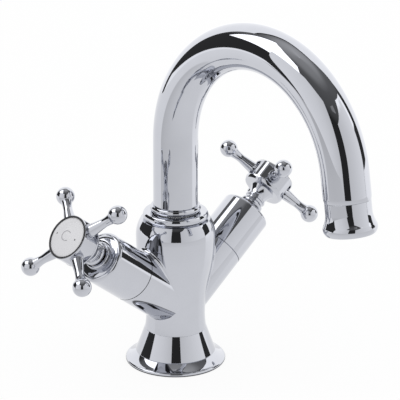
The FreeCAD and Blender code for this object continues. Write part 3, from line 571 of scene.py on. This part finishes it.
class TAP_OT_body(bpy.types.Operator):
    """Plate the body casting and the spout's stub, and turn the flare of the foot"""

    bl_idname = "tap.body"
    bl_label = "Body and stub"

    def execute(self, context):
        for node in ("body_casting", "spout_stub"):
            plate(node, polished_chrome())
        s = context.scene.tap_sizes
        # The flare's skin lies outside the casting's foot and laps over the base ring
        inner, sink, lap, hollow = 15.2, 0.3, 0.95, 300.0
        foot_edge, neck_edge = 0.2, 0.05
        low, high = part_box("base_ring")[1][2] / MM - sink, s.flare_top / MM
        foot, neck = s.base_foot / MM + lap, s.flare_neck / MM
        profile = loop(
            (inner, (low + high) / 2),
            (inner, low),
            (foot, low, 0, foot_edge),
            (neck, high, -hollow, neck_edge),
            (inner, high),
        )
        piece = skin("body_foot_turned", turned(profile), closed=True)
        finish_piece(piece, "tap_body", polished_chrome(), "polished_chrome")
        return {"FINISHED"}


class TAP_OT_shrouds(bpy.types.Operator):
    """Turn the two valve shrouds with their round front edges and gland collars"""

    bl_idname = "tap.shrouds"
    bl_label = "Valve shrouds"

    def execute(self, context):
        s = context.scene.tap_sizes
        edge = s.shroud_edge / MM
        wall, dome, bow = 1.6, 0.8, 9.0
        seam, seam_depth, seam_edge, rear_edge = 0.42, 1.1, 0.05, 0.08
        collar, collar_height, collar_edge, crease = 7.6, 2.2, 0.8, 0.1
        gland, bonnet, bonnet_rise, thread = 6.05, 8.55, 20.25, 8.05
        for side, _ in SIDES:
            place = valve_place(side)
            face, top, radius = span(f"{side}_valve_shroud", place)
            front = top - collar_height
            cavity = radius - wall
            ceiling = face + bonnet_rise
            begin = face + 1.0
            profile = loop(
                (cavity, begin),
                (cavity, face),
                (radius - seam_depth, face, 0, seam_edge),
                (radius - seam_depth, face + seam, 0, seam_edge),
                (radius, face + seam, 0, rear_edge),
                (radius, front - edge),
                (radius - edge, front, edge),
                (collar, front + dome, bow, crease),
                (collar, top - collar_edge),
                (collar - collar_edge, top, collar_edge),
                (gland, top, 0, crease),
                (gland, ceiling),
                (bonnet, ceiling),
                (bonnet, ceiling - thread),
                (cavity, ceiling - thread),
            )
            piece = skin(f"{side}_shroud_turned", turned(profile), place, closed=True)
            finish_piece(piece, "tap_body", polished_chrome(), "polished_chrome", f"{side}_valve_shroud")
        return {"FINISHED"}


class TAP_OT_swan_neck(bpy.types.Operator):
    """Bend the swan neck from a drawn tube"""

    bl_idname = "tap.swan_neck"
    bl_label = "Swan neck"

    def execute(self, context):
        s = context.scene.tap_sizes
        foot, radius = spout_foot(), tube_radius()
        rise, arch, turn, drop = s.spout_rise / MM, s.arch_radius / MM, s.arch_angle, s.outlet_drop / MM
        bow = arch * turn
        total = rise + bow + drop
        bore = radius - s.tube_wall / MM
        curl, tuck = s.end_curl / MM, s.end_tuck / MM
        end_edge = 0.15
        profile = loop(
            (bore, total / 2),
            (bore, 0),
            (radius, 0, 0, end_edge),
            (radius, total - curl),
            (radius - tuck, total, (curl**2 + tuck**2) / (2 * tuck), end_edge),
            (bore, total),
            step=TUBE_STEP,
        )
        ways = circle(TUBE_AROUND)
        rings = []
        for r, station, nr, ns in profile:
            bent = min(max(station - rise, 0.0), bow) / arch
            height = foot + min(station, rise) + arch * math.sin(bent)
            along = np.array((0.0, -math.sin(bent), math.cos(bent)))
            middle = np.array((0.0, -arch * (1 - math.cos(bent)), height))
            middle = middle + along * max(station - rise - bow, 0.0)
            out = np.array((0.0, math.cos(bent), math.sin(bent)))
            spread = ways[:, :1] * np.array((1.0, 0.0, 0.0)) + ways[:, 1:] * out
            rings.append((middle + spread * r, spread * nr + along * ns))
        piece = skin("swan_neck_tube", rings, closed=True)
        finish_piece(piece, "spout", polished_chrome(), "polished_chrome", "spout_tube")
        return {"FINISHED"}


class TAP_OT_outlet(bpy.types.Operator):
    """Turn the flared outlet ring"""

    bl_idname = "tap.outlet"
    bl_label = "Outlet ring"

    def execute(self, context):
        place = outlet_place()
        s = context.scene.tap_sizes
        start, rim, widest = span("outlet_ring", place)
        radius, wall = tube_radius(), s.tube_wall / MM
        seam = s.outlet_drop / MM
        lip, slope, turn = s.lip_curve / MM, s.flare_angle, s.lip_angle
        bore, depth, clearance = 11.0, 9.6, 0.05
        seam_edge, lip_edge, bore_edge = 0.12, 0.45, 0.3
        spigot, inner = radius - wall - clearance, radius - 2 * wall
        radius -= s.end_tuck / MM
        lip_foot = rim - lip * (math.sin(slope) + math.sin(turn))
        throat = widest - lip * (1 - math.cos(slope))
        flare = (throat - radius) / (1 - math.cos(slope))
        ledge = rim - depth
        begin = start + 2.0
        profile = loop(
            (inner, begin),
            (inner, start),
            (spigot, start),
            (spigot, seam),
            (radius, seam, 0, seam_edge),
            (radius, lip_foot - flare * math.sin(slope)),
            (throat, lip_foot, -flare),
            (widest - lip * (1 - math.cos(turn)), rim, lip, lip_edge),
            (bore, rim, 0, bore_edge),
            (bore, ledge),
            (inner, ledge),
        )
        piece = skin("outlet_ring_turned", turned(profile), place, closed=True)
        finish_piece(piece, "spout", polished_chrome(), "polished_chrome", "outlet_ring")
        return {"FINISHED"}


class TAP_OT_hubs(bpy.types.Operator):
    """Shape the two handle hubs: skirt, four flats, round bezel and recess"""

    bl_idname = "tap.hubs"
    bl_label = "Handle hubs"

    def execute(self, context):
        s = context.scene.tap_sizes
        cuts = s.hub_flat / MM, s.hub_rim / MM, s.hub_edge / MM
        for side, _ in SIDES:
            first = arm_place(side, 1)
            valve = valve_place(side)
            turn = valve.inverted() @ first
            place = valve @ Matrix.Rotation(math.atan2(turn[1][0], turn[0][0]), 4, "Z")
            foot, face, radius = span(f"{side}_handle_hub", valve)
            line = (valve.inverted() @ first.translation).z / MM
            piece = skin(f"{side}_hub_milled", hub_rings(foot, face, line, radius, *cuts), place, closed=True)
            finish_piece(piece, f"{side}_handle", polished_chrome(), "polished_chrome", f"{side}_handle_hub")
        return {"FINISHED"}


def hub_rings(foot, face, line, radius, flat, rim_height, edge):
    """Rings over a hub: turned skirt and rear rim, milled block, turned bezel and recess."""
    behind, ahead = 7.1, 3.9
    back, bezel = line - behind, line + ahead
    crown, lobe_edge = 0.2, 0.4
    side = flat - crown
    corner = math.sqrt(radius**2 - side**2)
    bow = (corner**2 + crown**2) / (2 * crown)
    quarter = outline(
        (flat, 0),
        (side, corner, bow, lobe_edge),
        (corner, side, radius, lobe_edge),
        (0, flat, bow),
        step=FINE_STEP,
    )[:-1]
    block = []
    for turn in range(4):
        c, t = (1, 0, -1, 0)[turn], (0, 1, 0, -1)[turn]
        for x, y, nx, ny in quarter:
            block.append((c * x - t * y, t * x + c * y, c * nx - t * ny, t * nx + c * ny))
    block = np.array(block)
    ways = block[:, :2] / np.hypot(block[:, 0], block[:, 1])[:, None]
    bead, gap, neck, disc, disc_height, bell, skirt = 3.0, 1.4, 5.2, 6.0, 1.1, 7.4, 6.5
    low = foot + bead + gap
    high = low + disc_height
    drop = 0.35
    foot, bead = foot - drop, bead + drop
    swell = (bead**2 / 4 + (skirt - neck) ** 2) / (2 * (skirt - neck))
    hollow = ((bell - neck) ** 2 + (back - high) ** 2) / (2 * (bell - neck))
    rod, proud, slant, rear_bow = 4.05, 0.08, 0.95, 5.0
    bell_edge, rear_edge, recess_edge, lead = 0.3, 0.4, 0.1, 0.3
    rim, ledge = radius + proud, back + rim_height
    begin = foot + 1.0
    rings = turned(
        outline(
            (rod, begin),
            (rod, foot),
            (neck, foot),
            (neck, foot + bead, swell),
            (neck, low),
            (disc, low),
            (disc, high),
            (neck, high),
            (bell, back, -hollow, bell_edge),
            (rim - slant, back, 0, rear_edge),
            (rim, ledge - lead, rear_bow),
        ),
        ways,
    )
    rings += milled_walls(block, ways, rim, ledge, bezel)
    recess, screw, hole = 11.0, 4.5, 2.7
    floor, web, tip = bezel + 0.7, back + 5.1, back + 3.8
    rings += turned(
        outline(
            (rim, bezel + lead),
            (rim, face, 0, edge),
            (recess, face, 0, recess_edge),
            (recess, floor),
            (screw, floor),
            (screw, web),
            (hole, web),
            (hole, tip),
            (rod, tip),
            (rod, begin),
        )[:-1],
        ways,
    )
    return rings


def milled_walls(block, ways, rim, ledge, bezel):
    """Rings from the rear rim down its ledge, up the block's walls and out under the bezel."""
    edge = 0.25
    soft = np.minimum(edge, CORNER_SHARE * (rim - np.hypot(block[:, 0], block[:, 1])))[:, None]
    up = np.array((0.0, 0.0, 1.0))
    out = np.column_stack([ways, np.zeros(len(ways))])
    wall = np.column_stack([block[:, 2:], np.zeros(len(block))])
    feet = np.column_stack([block[:, :2], np.zeros(len(block))])
    quarter_turn = np.linspace(0, math.pi / 2, CORNER_STEPS + 1)
    rings = []
    for a in quarter_turn:
        c, t = math.cos(a), math.sin(a)
        rings.append((out * (rim - soft * (1 - c)) + up * (ledge - soft * (1 - t)), out * c + up * t))
    for a in quarter_turn:
        c, t = math.cos(a), math.sin(a)
        rings.append((feet + wall * soft * (1 - t) + up * (ledge + soft * (1 - c)), up * c + wall * t))
    for share in (0.25, 0.5, 0.75):
        rings.append((feet + up * (ledge + (bezel - ledge) * share), wall))
    for a in quarter_turn[::-1]:
        c, t = math.cos(a), math.sin(a)
        rings.append((feet + wall * soft * (1 - t) + up * (bezel - soft * (1 - c)), wall * t - up * c))
    for a in quarter_turn[::-1]:
        c, t = math.cos(a), math.sin(a)
        rings.append((out * (rim - soft * (1 - c)) + up * (bezel + soft * (1 - t)), out * c - up * t))
    return rings


class TAP_OT_arms(bpy.types.Operator):
    """Turn the eight arms with their ball ends"""

    bl_idname = "tap.arms"
    bl_label = "Handle arms"

    def execute(self, context):
        s = context.scene.tap_sizes
        ball, neck = s.ball_radius / MM, s.arm_neck / MM
        flat = s.hub_flat / MM
        stud, stud_length, collar, collar_height, thick, taper = 2.5, 2.8, 3.7, 1.4, 3.4, 7.6
        crease, flare, waist_edge = 3.0, 16.0, 3.0
        root_edge, front_edge, shank_edge, crease_edge = 0.15, 0.4, 0.1, 0.25
        lie = Matrix.Rotation(math.pi / 2, 4, "Y")
        for side, _ in SIDES:
            for number in range(1, 5):
                place = arm_place(side, number)
                reach = points_of(f"{side}_arm_{number}", place)[:, 0].max() - ball
                start = reach - math.sqrt(ball**2 - crease**2)
                profile = outline(
                    (0, flat - stud_length),
                    (stud, flat - stud_length),
                    (stud, flat),
                    (collar, flat, 0, root_edge),
                    (collar, flat + collar_height, 0, front_edge),
                    (thick, flat + collar_height, 0, shank_edge),
                    (neck, flat + collar_height + taper, 0, waist_edge),
                    (crease, start, -flare, crease_edge),
                    (ball, reach, ball),
                    (0, reach + ball, ball),
                )
                piece = skin(f"{side}_arm_turned_{number}", turned(profile, circle(ARM_AROUND)), place @ lie)
                node = f"{side}_arm_{number}"
                finish_piece(piece, f"{side}_handle", polished_chrome(), "polished_chrome", node)
        return {"FINISHED"}


class TAP_OT_index_discs(bpy.types.Operator):
    """Press the two domed index discs, paint their letters and dots, and paint a ring of shade and dark
    reflection around each
    """

    bl_idname = "tap.index_discs"
    bl_label = "Index discs"

    def execute(self, context):
        s = context.scene.tap_sizes
        crown, rise = 2.1, 1.6
        foot_edge, rim_edge = 0.15, 0.8
        lap, line_depth, line_proud, line_edge = 0.1, 0.4, 0.06, 0.05
        dot_reach, dot_radius, dot_depth, dot_rim, dot_edge = 6.8, 0.45, 0.05, 0.03, 0.02
        for side, letter in SIDES:
            valve = valve_place(side)
            foot, top, radius = span(f"{side}_index_disc", valve)
            _, face, _ = span(f"{side}_handle_hub", valve)
            top += rise
            dome = (radius**2 + crown**2) / (2 * crown)
            profile = outline(
                (0, foot),
                (radius, foot, 0, foot_edge),
                (radius, top - crown, 0, rim_edge),
                (0, top, dome),
                step=FINE_STEP,
            )
            inner = radius - lap
            outer = inner + s.index_line / MM
            # A ring of painted shade and dark reflection stands around the disc where its bezel is
            line = loop(
                (inner, face - line_depth),
                (outer, face - line_depth),
                (outer, face + line_proud, 0, line_edge),
                (inner, face + line_proud, 0, line_edge),
            )
            ring = skin(f"{side}_index_line", turned(line), valve, closed=True)
            finish_piece(ring, f"{side}_handle", shade_ring_and_dot_paint(), "index_white")
            piece = skin(f"{side}_index_pressed", turned(profile), valve)
            finish_piece(piece, f"{side}_handle", index_enamel(), "index_white", f"{side}_index_disc")
            mark = letter_mesh(f"{side}_letter", letter, s.letter_height, dome * MM, top * MM)
            sign = stand(f"{side}_letter", mark, valve @ upright(valve))
            finish_piece(sign, f"{side}_handle", letter_paint(), "index_white")
            for number, across in enumerate((-dot_reach, dot_reach), start=1):
                height = top - (dome - math.sqrt(dome**2 - across**2))
                dot = outline(
                    (dot_radius, height - dot_depth),
                    (dot_radius, height + dot_rim, 0, dot_edge),
                    (0, height + dot_depth),
                )
                spot = valve @ upright(valve) @ Matrix.Translation((across * MM, 0, 0))
                piece = skin(f"{side}_dot_{number}", turned(dot, circle(DOT_AROUND)), spot)
                finish_piece(piece, f"{side}_handle", shade_ring_and_dot_paint(), "index_white")
        return {"FINISHED"}


def upright(valve):
    """Turn about a valve's axis that stands a letter upright in front of the spout."""
    up = valve.inverted().to_3x3() @ Vector((0, 0, 1))
    return Matrix.Rotation(math.atan2(-up.x, up.y), 4, "Z")


def letter_mesh(name, letter, height, dome, top):
    """A letter as a thin raised mesh laid on the domed disc."""
    thickness, thinning, steps = 0.04, 0.02, 24
    text = bpy.data.curves.new(f"{name}_text", "FONT")
    text.body = letter
    text.size = height
    text.align_x, text.align_y = "CENTER", "CENTER"
    text.extrude = thickness * MM
    text.offset = -thinning * height
    text.resolution_u = steps
    draft = bpy.data.objects.new(f"{name}_draft", text)
    bpy.context.scene.collection.objects.link(draft)
    bpy.context.view_layer.update()
    mesh = bpy.data.meshes.new_from_object(draft.evaluated_get(bpy.context.evaluated_depsgraph_get()))
    bpy.data.objects.remove(draft)
    bpy.data.curves.remove(text)
    mesh.name = name
    for v in mesh.vertices:
        reach = v.co.x**2 + v.co.y**2
        v.co.z += top - (dome - math.sqrt(dome**2 - reach))
    return mesh


class TAP_OT_inner_parts(bpy.types.Operator):
    """Give the seals, valves, screws and aerator inside the tap their finishes"""

    bl_idname = "tap.inner_parts"
    bl_label = "Inner parts"

    def execute(self, context):
        finishes = {
            "brass": turned_brass,
            "alumina": sintered_alumina,
            "black_rubber": seal_rubber,
            "sealing_fibre": fibre_board,
            "white_acetal": acetal,
            "stainless": stainless,
        }
        for node, slot in node_slots().items():
            if slot in finishes:
                plate(node, finishes[slot]())
        return {"FINISHED"}


def node_slots():
    """Each node's material slot, as the frame's own materials name it."""
    return {
        name: thing.material_slots[0].material.name.split(".")[0]
        for name, thing in frame["nodes"].items()
        if thing.material_slots and thing.material_slots[0].material
    }


def plate(node, finish):
    """Give a node of the frame a finish."""
    for slot in frame["nodes"][node].material_slots:
        slot.material = finish


def spout_foot():
    """Height of the tube's foot."""
    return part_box("spout_tube")[0][2] / MM


def tube_radius():
    """Outside radius of the tube."""
    low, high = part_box("spout_tube")
    return (high[0] - low[0]) / 2 / MM


def outlet_place():
    """The outlet's own frame: Z runs down along the tube's end from where the arch stops."""
    s = bpy.context.scene.tap_sizes
    arch, turn = s.arch_radius, s.arch_angle
    y = -arch * (1 - math.cos(turn))
    z = spout_foot() * MM + s.spout_rise + arch * math.sin(turn)
    return Matrix.Translation((0, y, z)) @ Matrix.Rotation(turn, 4, "X")


# Studio

# The camera's bearing, rise and roll, its distance and aim in metres, and its lens and sensor in millimetres
VIEW_TURN, VIEW_RISE, VIEW_ROLL = math.radians(-43.512), math.radians(19.104), math.radians(-0.24)
VIEW_DISTANCE, VIEW_SIDE, VIEW_HEIGHT = 1.066589, 0.01303, 0.091558
LENS, SENSOR, CLIP = 180.0, 36.0, (0.01, 50.0)
# The point that the boards stand around
STUDIO_MIDDLE = Vector((0.0, -0.04, 0.11))
# Radii of the floor's rings of points in millimetres
FLOOR_RINGS = (1000.0, 760.0, 500.0, 280.0, 140.0, 60.0, 29.0, 28.2, 0.0)
# Share of the floor that is plain white, so that the rest keeps a faint shadow
FLOOR_WHITE = 0.9
# Painted light and shade in the floor's mirror image: how bright it is in each bearing far from the tap, and
# how many metres away half of the change is reached
FLOOR_LEVELS = (
    (-180, 1.15), (-118, 1.1), (-79, 1.12), (-77, 0.6), (-50, 0.68), (-20, 0.75), (0, 0.78),
    (30, 0.82), (60, 0.86), (92, 0.92), (95, 1.28), (104, 1.36), (180, 1.15),
)
FLOOR_NEAR = 0.25
# The tap shades the floor where they touch
CONTACT, CONTACT_LEVEL = 0.0286, 0.12
# A painted shade line on the far floor's mirror image along the front board's edge: its bearings, how far out
# it starts and its level
FLOOR_LINE, FLOOR_LINE_START, FLOOR_LINE_LEVEL = (-84, -78), 0.9, 0.1
# Degrees between a board's columns of points, the number of its rows, and the elevation of its lower edge
BOARD_STEP, BOARD_ROWS, BOARD_FOOT = 2.0, 24, -30


def view_ways():
    """Directions of the camera: back towards it, to its right and up."""
    back = Vector((
        math.sin(VIEW_TURN) * math.cos(VIEW_RISE),
        -math.cos(VIEW_TURN) * math.cos(VIEW_RISE),
        math.sin(VIEW_RISE),
    ))
    right = Vector((math.cos(VIEW_TURN), math.sin(VIEW_TURN), 0.0))
    return back, right, back.cross(right)


def front_bearing():
    """The angle about Z at which the camera stands, where bearings start."""
    back, _, _ = view_ways()
    return math.atan2(back.y, back.x)


def glow():
    """The studio's boards: a white glow at the level painted on each mesh."""
    material, tree, output = new_material("studio_glow")
    if tree is not None:
        level = add(tree, "ShaderNodeAttribute", {"attribute_name": "level"})
        light = add(
            tree,
            "ShaderNodeEmission",
            None,
            {"Color": linear("ffffff"), "Strength": level.outputs["Fac"]},
        )
        tree.links.new(light.outputs["Emission"], output.inputs["Surface"])
    return material


def board(name, away, low, tops, levels, fade=((-90, 1.0), (90, 1.0))):
    """A board around the object that only its mirror image shows.

    Bearings in degrees count from the camera's side, to the right in the picture. The upper edge runs
    through pairs of bearing and elevation. The glow runs through pairs of bearing and level, times pairs
    of elevation and share.
    """
    zero = front_bearing()
    count = round((tops[-1][0] - tops[0][0]) / BOARD_STEP) + 1
    points, faces, glows = [], [], []
    for bearing in np.linspace(tops[0][0], tops[-1][0], count):
        turn = zero + math.radians(bearing)
        for rise in np.linspace(low, np.interp(bearing, *zip(*tops)), BOARD_ROWS):
            tilt = math.radians(rise)
            way = Vector((math.cos(tilt) * math.cos(turn), math.cos(tilt) * math.sin(turn), math.sin(tilt)))
            points.append(STUDIO_MIDDLE + way * away)
            glows.append(np.interp(bearing, *zip(*levels)) * np.interp(rise, *zip(*fade)))
    for i in range(count - 1):
        for j in range(BOARD_ROWS - 1):
            a = i * BOARD_ROWS + j
            faces.append((a, a + 1, a + BOARD_ROWS + 1, a + BOARD_ROWS))
    mesh = bpy.data.meshes.new(name)
    mesh.from_pydata(points, [], faces)
    mesh.materials.append(glow())
    mesh.attributes.new("level", "FLOAT", "POINT").data.foreach_set("value", glows)
    card = stand(name, mesh)
    card.visible_camera = False
    card.visible_diffuse = False
    card.visible_shadow = False


class TAP_OT_stage(bpy.types.Operator):
    """Set up the floor, the studio's boards, the light and the camera"""

    bl_idname = "tap.stage"
    bl_label = "Studio"

    def execute(self, context):
        scene = context.scene
        scene.view_settings.view_transform = "Standard"
        self.world(scene)
        self.floor()
        self.boards()
        self.camera(scene)
        return {"FINISHED"}

    def world(self, scene):
        """A plain white room: what the eye sees behind the tap, and an even soft light on it."""
        world = bpy.data.worlds.new("studio")
        scene.world = world
        world.use_nodes = True
        tree = world.node_tree
        tree.nodes.clear()
        white = add(tree, "ShaderNodeBackground", None, {"Color": linear("ffffff"), "Strength": 1.0})
        add(tree, "ShaderNodeOutputWorld", None, {"Surface": white.outputs["Background"]})

    def floor(self):
        """A pale round floor that keeps a faint shadow, with painted light and shade of its own in the mirror
        of the metal.
        """
        floor = skin("studio_floor", turned([(r, 0.0, 0.0, 1.0) for r in FLOOR_RINGS], circle(FLOOR_AROUND)))
        zero = front_bearing()
        glows = []
        for point in floor.data.vertices:
            away = point.co.length
            bearing = (math.degrees(math.atan2(point.co.y, point.co.x) - zero) + 180) % 360 - 180
            far = np.interp(bearing, *zip(*FLOOR_LEVELS))
            if away > FLOOR_LINE_START and FLOOR_LINE[0] < bearing < FLOOR_LINE[1]:
                far = FLOOR_LINE_LEVEL
            near = CONTACT_LEVEL if away < CONTACT else 1.0
            glows.append(near + (far - 1) * away**2 / (away**2 + FLOOR_NEAR**2))
        floor.data.attributes.new("level", "FLOAT", "POINT").data.foreach_set("value", glows)
        material, tree, output = new_material("pale_studio_floor")
        path = add(tree, "ShaderNodeLightPath").outputs
        seen = add(
            tree,
            "ShaderNodeMath",
            {"operation": "MAXIMUM"},
            {0: path["Is Camera Ray"], 1: path["Is Glossy Ray"]},
        )
        share = add(tree, "ShaderNodeMath", {"operation": "MULTIPLY"}, {0: seen.outputs[0], 1: FLOOR_WHITE})
        mirrored = add(tree, "ShaderNodeAttribute", {"attribute_name": "level"})
        level = add(
            tree,
            "ShaderNodeMix",
            None,
            {"Factor": path["Is Glossy Ray"], "A": 1.0, "B": mirrored.outputs["Fac"]},
        )
        paint = add(tree, "ShaderNodeBsdfDiffuse", None, {"Color": bpy.context.scene.tap_finishes.floor})
        white = add(
            tree,
            "ShaderNodeEmission",
            None,
            {"Color": linear("ffffff"), "Strength": level.outputs["Result"]},
        )
        mix = add(
            tree,
            "ShaderNodeMixShader",
            None,
            {0: share.outputs[0], 1: paint.outputs["BSDF"], 2: white.outputs["Emission"]},
        )
        tree.links.new(mix.outputs["Shader"], output.inputs["Surface"])
        floor.data.materials.append(material)

    def boards(self):
        """White boards and sills with dark gaps between them under a dark ceiling, and two bright lights."""
        ceiling = ((-180, 1.3), (-110, 1.1), (-50, 0.8), (50, 0.8), (110, 1.1), (180, 1.3))
        shade = (
            (-30, 0.036), (34, 0.036), (40, 0.12), (50, 0.14), (58, 0.16), (64, 0.25), (70, 0.38), (90, 0.44),
        )
        room = ((-180, 89.5), (180, 89.5))
        board("dark_room", away=3.6, low=BOARD_FOOT, tops=room, levels=ceiling, fade=shade)
        board("ceiling_patch", away=3.5, low=42, tops=((12, 45.5), (28, 48.5)), levels=((12, 0.26), (28, 0.32)))
        board(
            "front_left_board",
            away=3.2,
            low=BOARD_FOOT,
            tops=((-78, 39), (-60, 43), (-40, 47), (-34, 45.5), (-23, 43.5), (-12, 42)),
            levels=((-78, 1.1), (-40, 0.98), (-12, 0.83)),
        )
        board(
            "right_board",
            away=3.2,
            low=BOARD_FOOT,
            tops=((16, 33), (34, 39.5), (50, 45), (64, 50.3), (80, 47.3), (94, 43.7)),
            levels=((16, 0.83), (50, 0.95), (94, 1.12)),
            fade=((-90, 1.0), (43.5, 1.0), (45, 1.45), (90, 1.45)),
        )
        board(
            "left_sill",
            away=3.3,
            low=BOARD_FOOT,
            tops=((-120, -3.3), (-85, -3.3)),
            levels=((-120, 1.3), (-85, 1.25)),
        )
        board(
            "right_sill",
            away=3.3,
            low=BOARD_FOOT,
            tops=((95, -3.3), (126, -3.3)),
            levels=((95, 1.25), (126, 1.3)),
        )
        board("strip_light", away=3.1, low=20, tops=((93, 44), (103, 41.2)), levels=((93, 1.5), (103, 1.5)))
        board(
            "rear_board",
            away=3.2,
            low=BOARD_FOOT,
            tops=((118, 39), (121, 44), (124, 52), (133, 60), (150, 61), (170, 57), (200, 57), (229, 52)),
            levels=((118, 1.3), (229, 1.25)),
        )
        board(
            "rear_shadow",
            away=3.5,
            low=35,
            tops=(
                (117, 42), (121, 47), (124, 55), (133, 63.5), (150, 64.5), (170, 60.5), (200, 60.5), (229, 55),
            ),
            levels=((117, 0.05), (229, 0.05)),
        )
        board(
            "soft_box",
            away=3.4,
            low=31,
            tops=((-117, 69), (-90, 68), (-64, 62), (-48, 57)),
            levels=((-117, 2.4), (-48, 2.4)),
        )

    def camera(self, scene):
        """The photograph's viewpoint."""
        back, right, up = view_ways()
        data = bpy.data.cameras.new("view")
        data.lens, data.sensor_width, data.sensor_fit = LENS, SENSOR, "HORIZONTAL"
        data.clip_start, data.clip_end = CLIP
        camera = bpy.data.objects.new("view", data)
        scene.collection.objects.link(camera)
        target = Vector((0, 0, VIEW_HEIGHT)) + right * VIEW_SIDE
        turn = Matrix((right, up, back)).transposed().to_4x4() @ Matrix.Rotation(-VIEW_ROLL, 4, "Z")
        camera.matrix_world = Matrix.Translation(target + back * VIEW_DISTANCE) @ turn
        scene.camera = camera


PIECES = (
    TAP_OT_base_ring,
    TAP_OT_body,
    TAP_OT_shrouds,
    TAP_OT_swan_neck,
    TAP_OT_outlet,
    TAP_OT_hubs,
    TAP_OT_arms,
    TAP_OT_index_discs,
    TAP_OT_inner_parts,
    TAP_OT_stage,
)


class TAP_PT_pieces(bpy.types.Panel):
    """Lists the tap's pieces"""

    bl_idname = "TAP_PT_pieces"
    bl_label = "Basin tap"
    bl_space_type = "VIEW_3D"
    bl_region_type = "UI"
    bl_category = "Basin tap"

    def draw(self, context):
        for piece in PIECES:
            self.layout.operator(piece.bl_idname)
        for group in (context.scene.tap_sizes, context.scene.tap_finishes):
            for name in group.__annotations__:
                self.layout.prop(group, name)


CLASSES = (TapSizes, TapFinishes, *PIECES, TAP_PT_pieces)


def register():
    for thing in CLASSES:
        bpy.utils.register_class(thing)
    bpy.types.Scene.tap_sizes = PointerProperty(type=TapSizes)
    bpy.types.Scene.tap_finishes = PointerProperty(type=TapFinishes)


def unregister():
    del bpy.types.Scene.tap_finishes
    del bpy.types.Scene.tap_sizes
    for thing in reversed(CLASSES):
        bpy.utils.unregister_class(thing)


def main():
    register()
    bpy.ops.tap.stage()
    bpy.ops.tap.base_ring()
    bpy.ops.tap.body()
    bpy.ops.tap.shrouds()
    bpy.ops.tap.swan_neck()
    bpy.ops.tap.outlet()
    bpy.ops.tap.hubs()
    bpy.ops.tap.arms()
    bpy.ops.tap.index_discs()
    bpy.ops.tap.inner_parts()


if __name__ == "__main__":
    main()
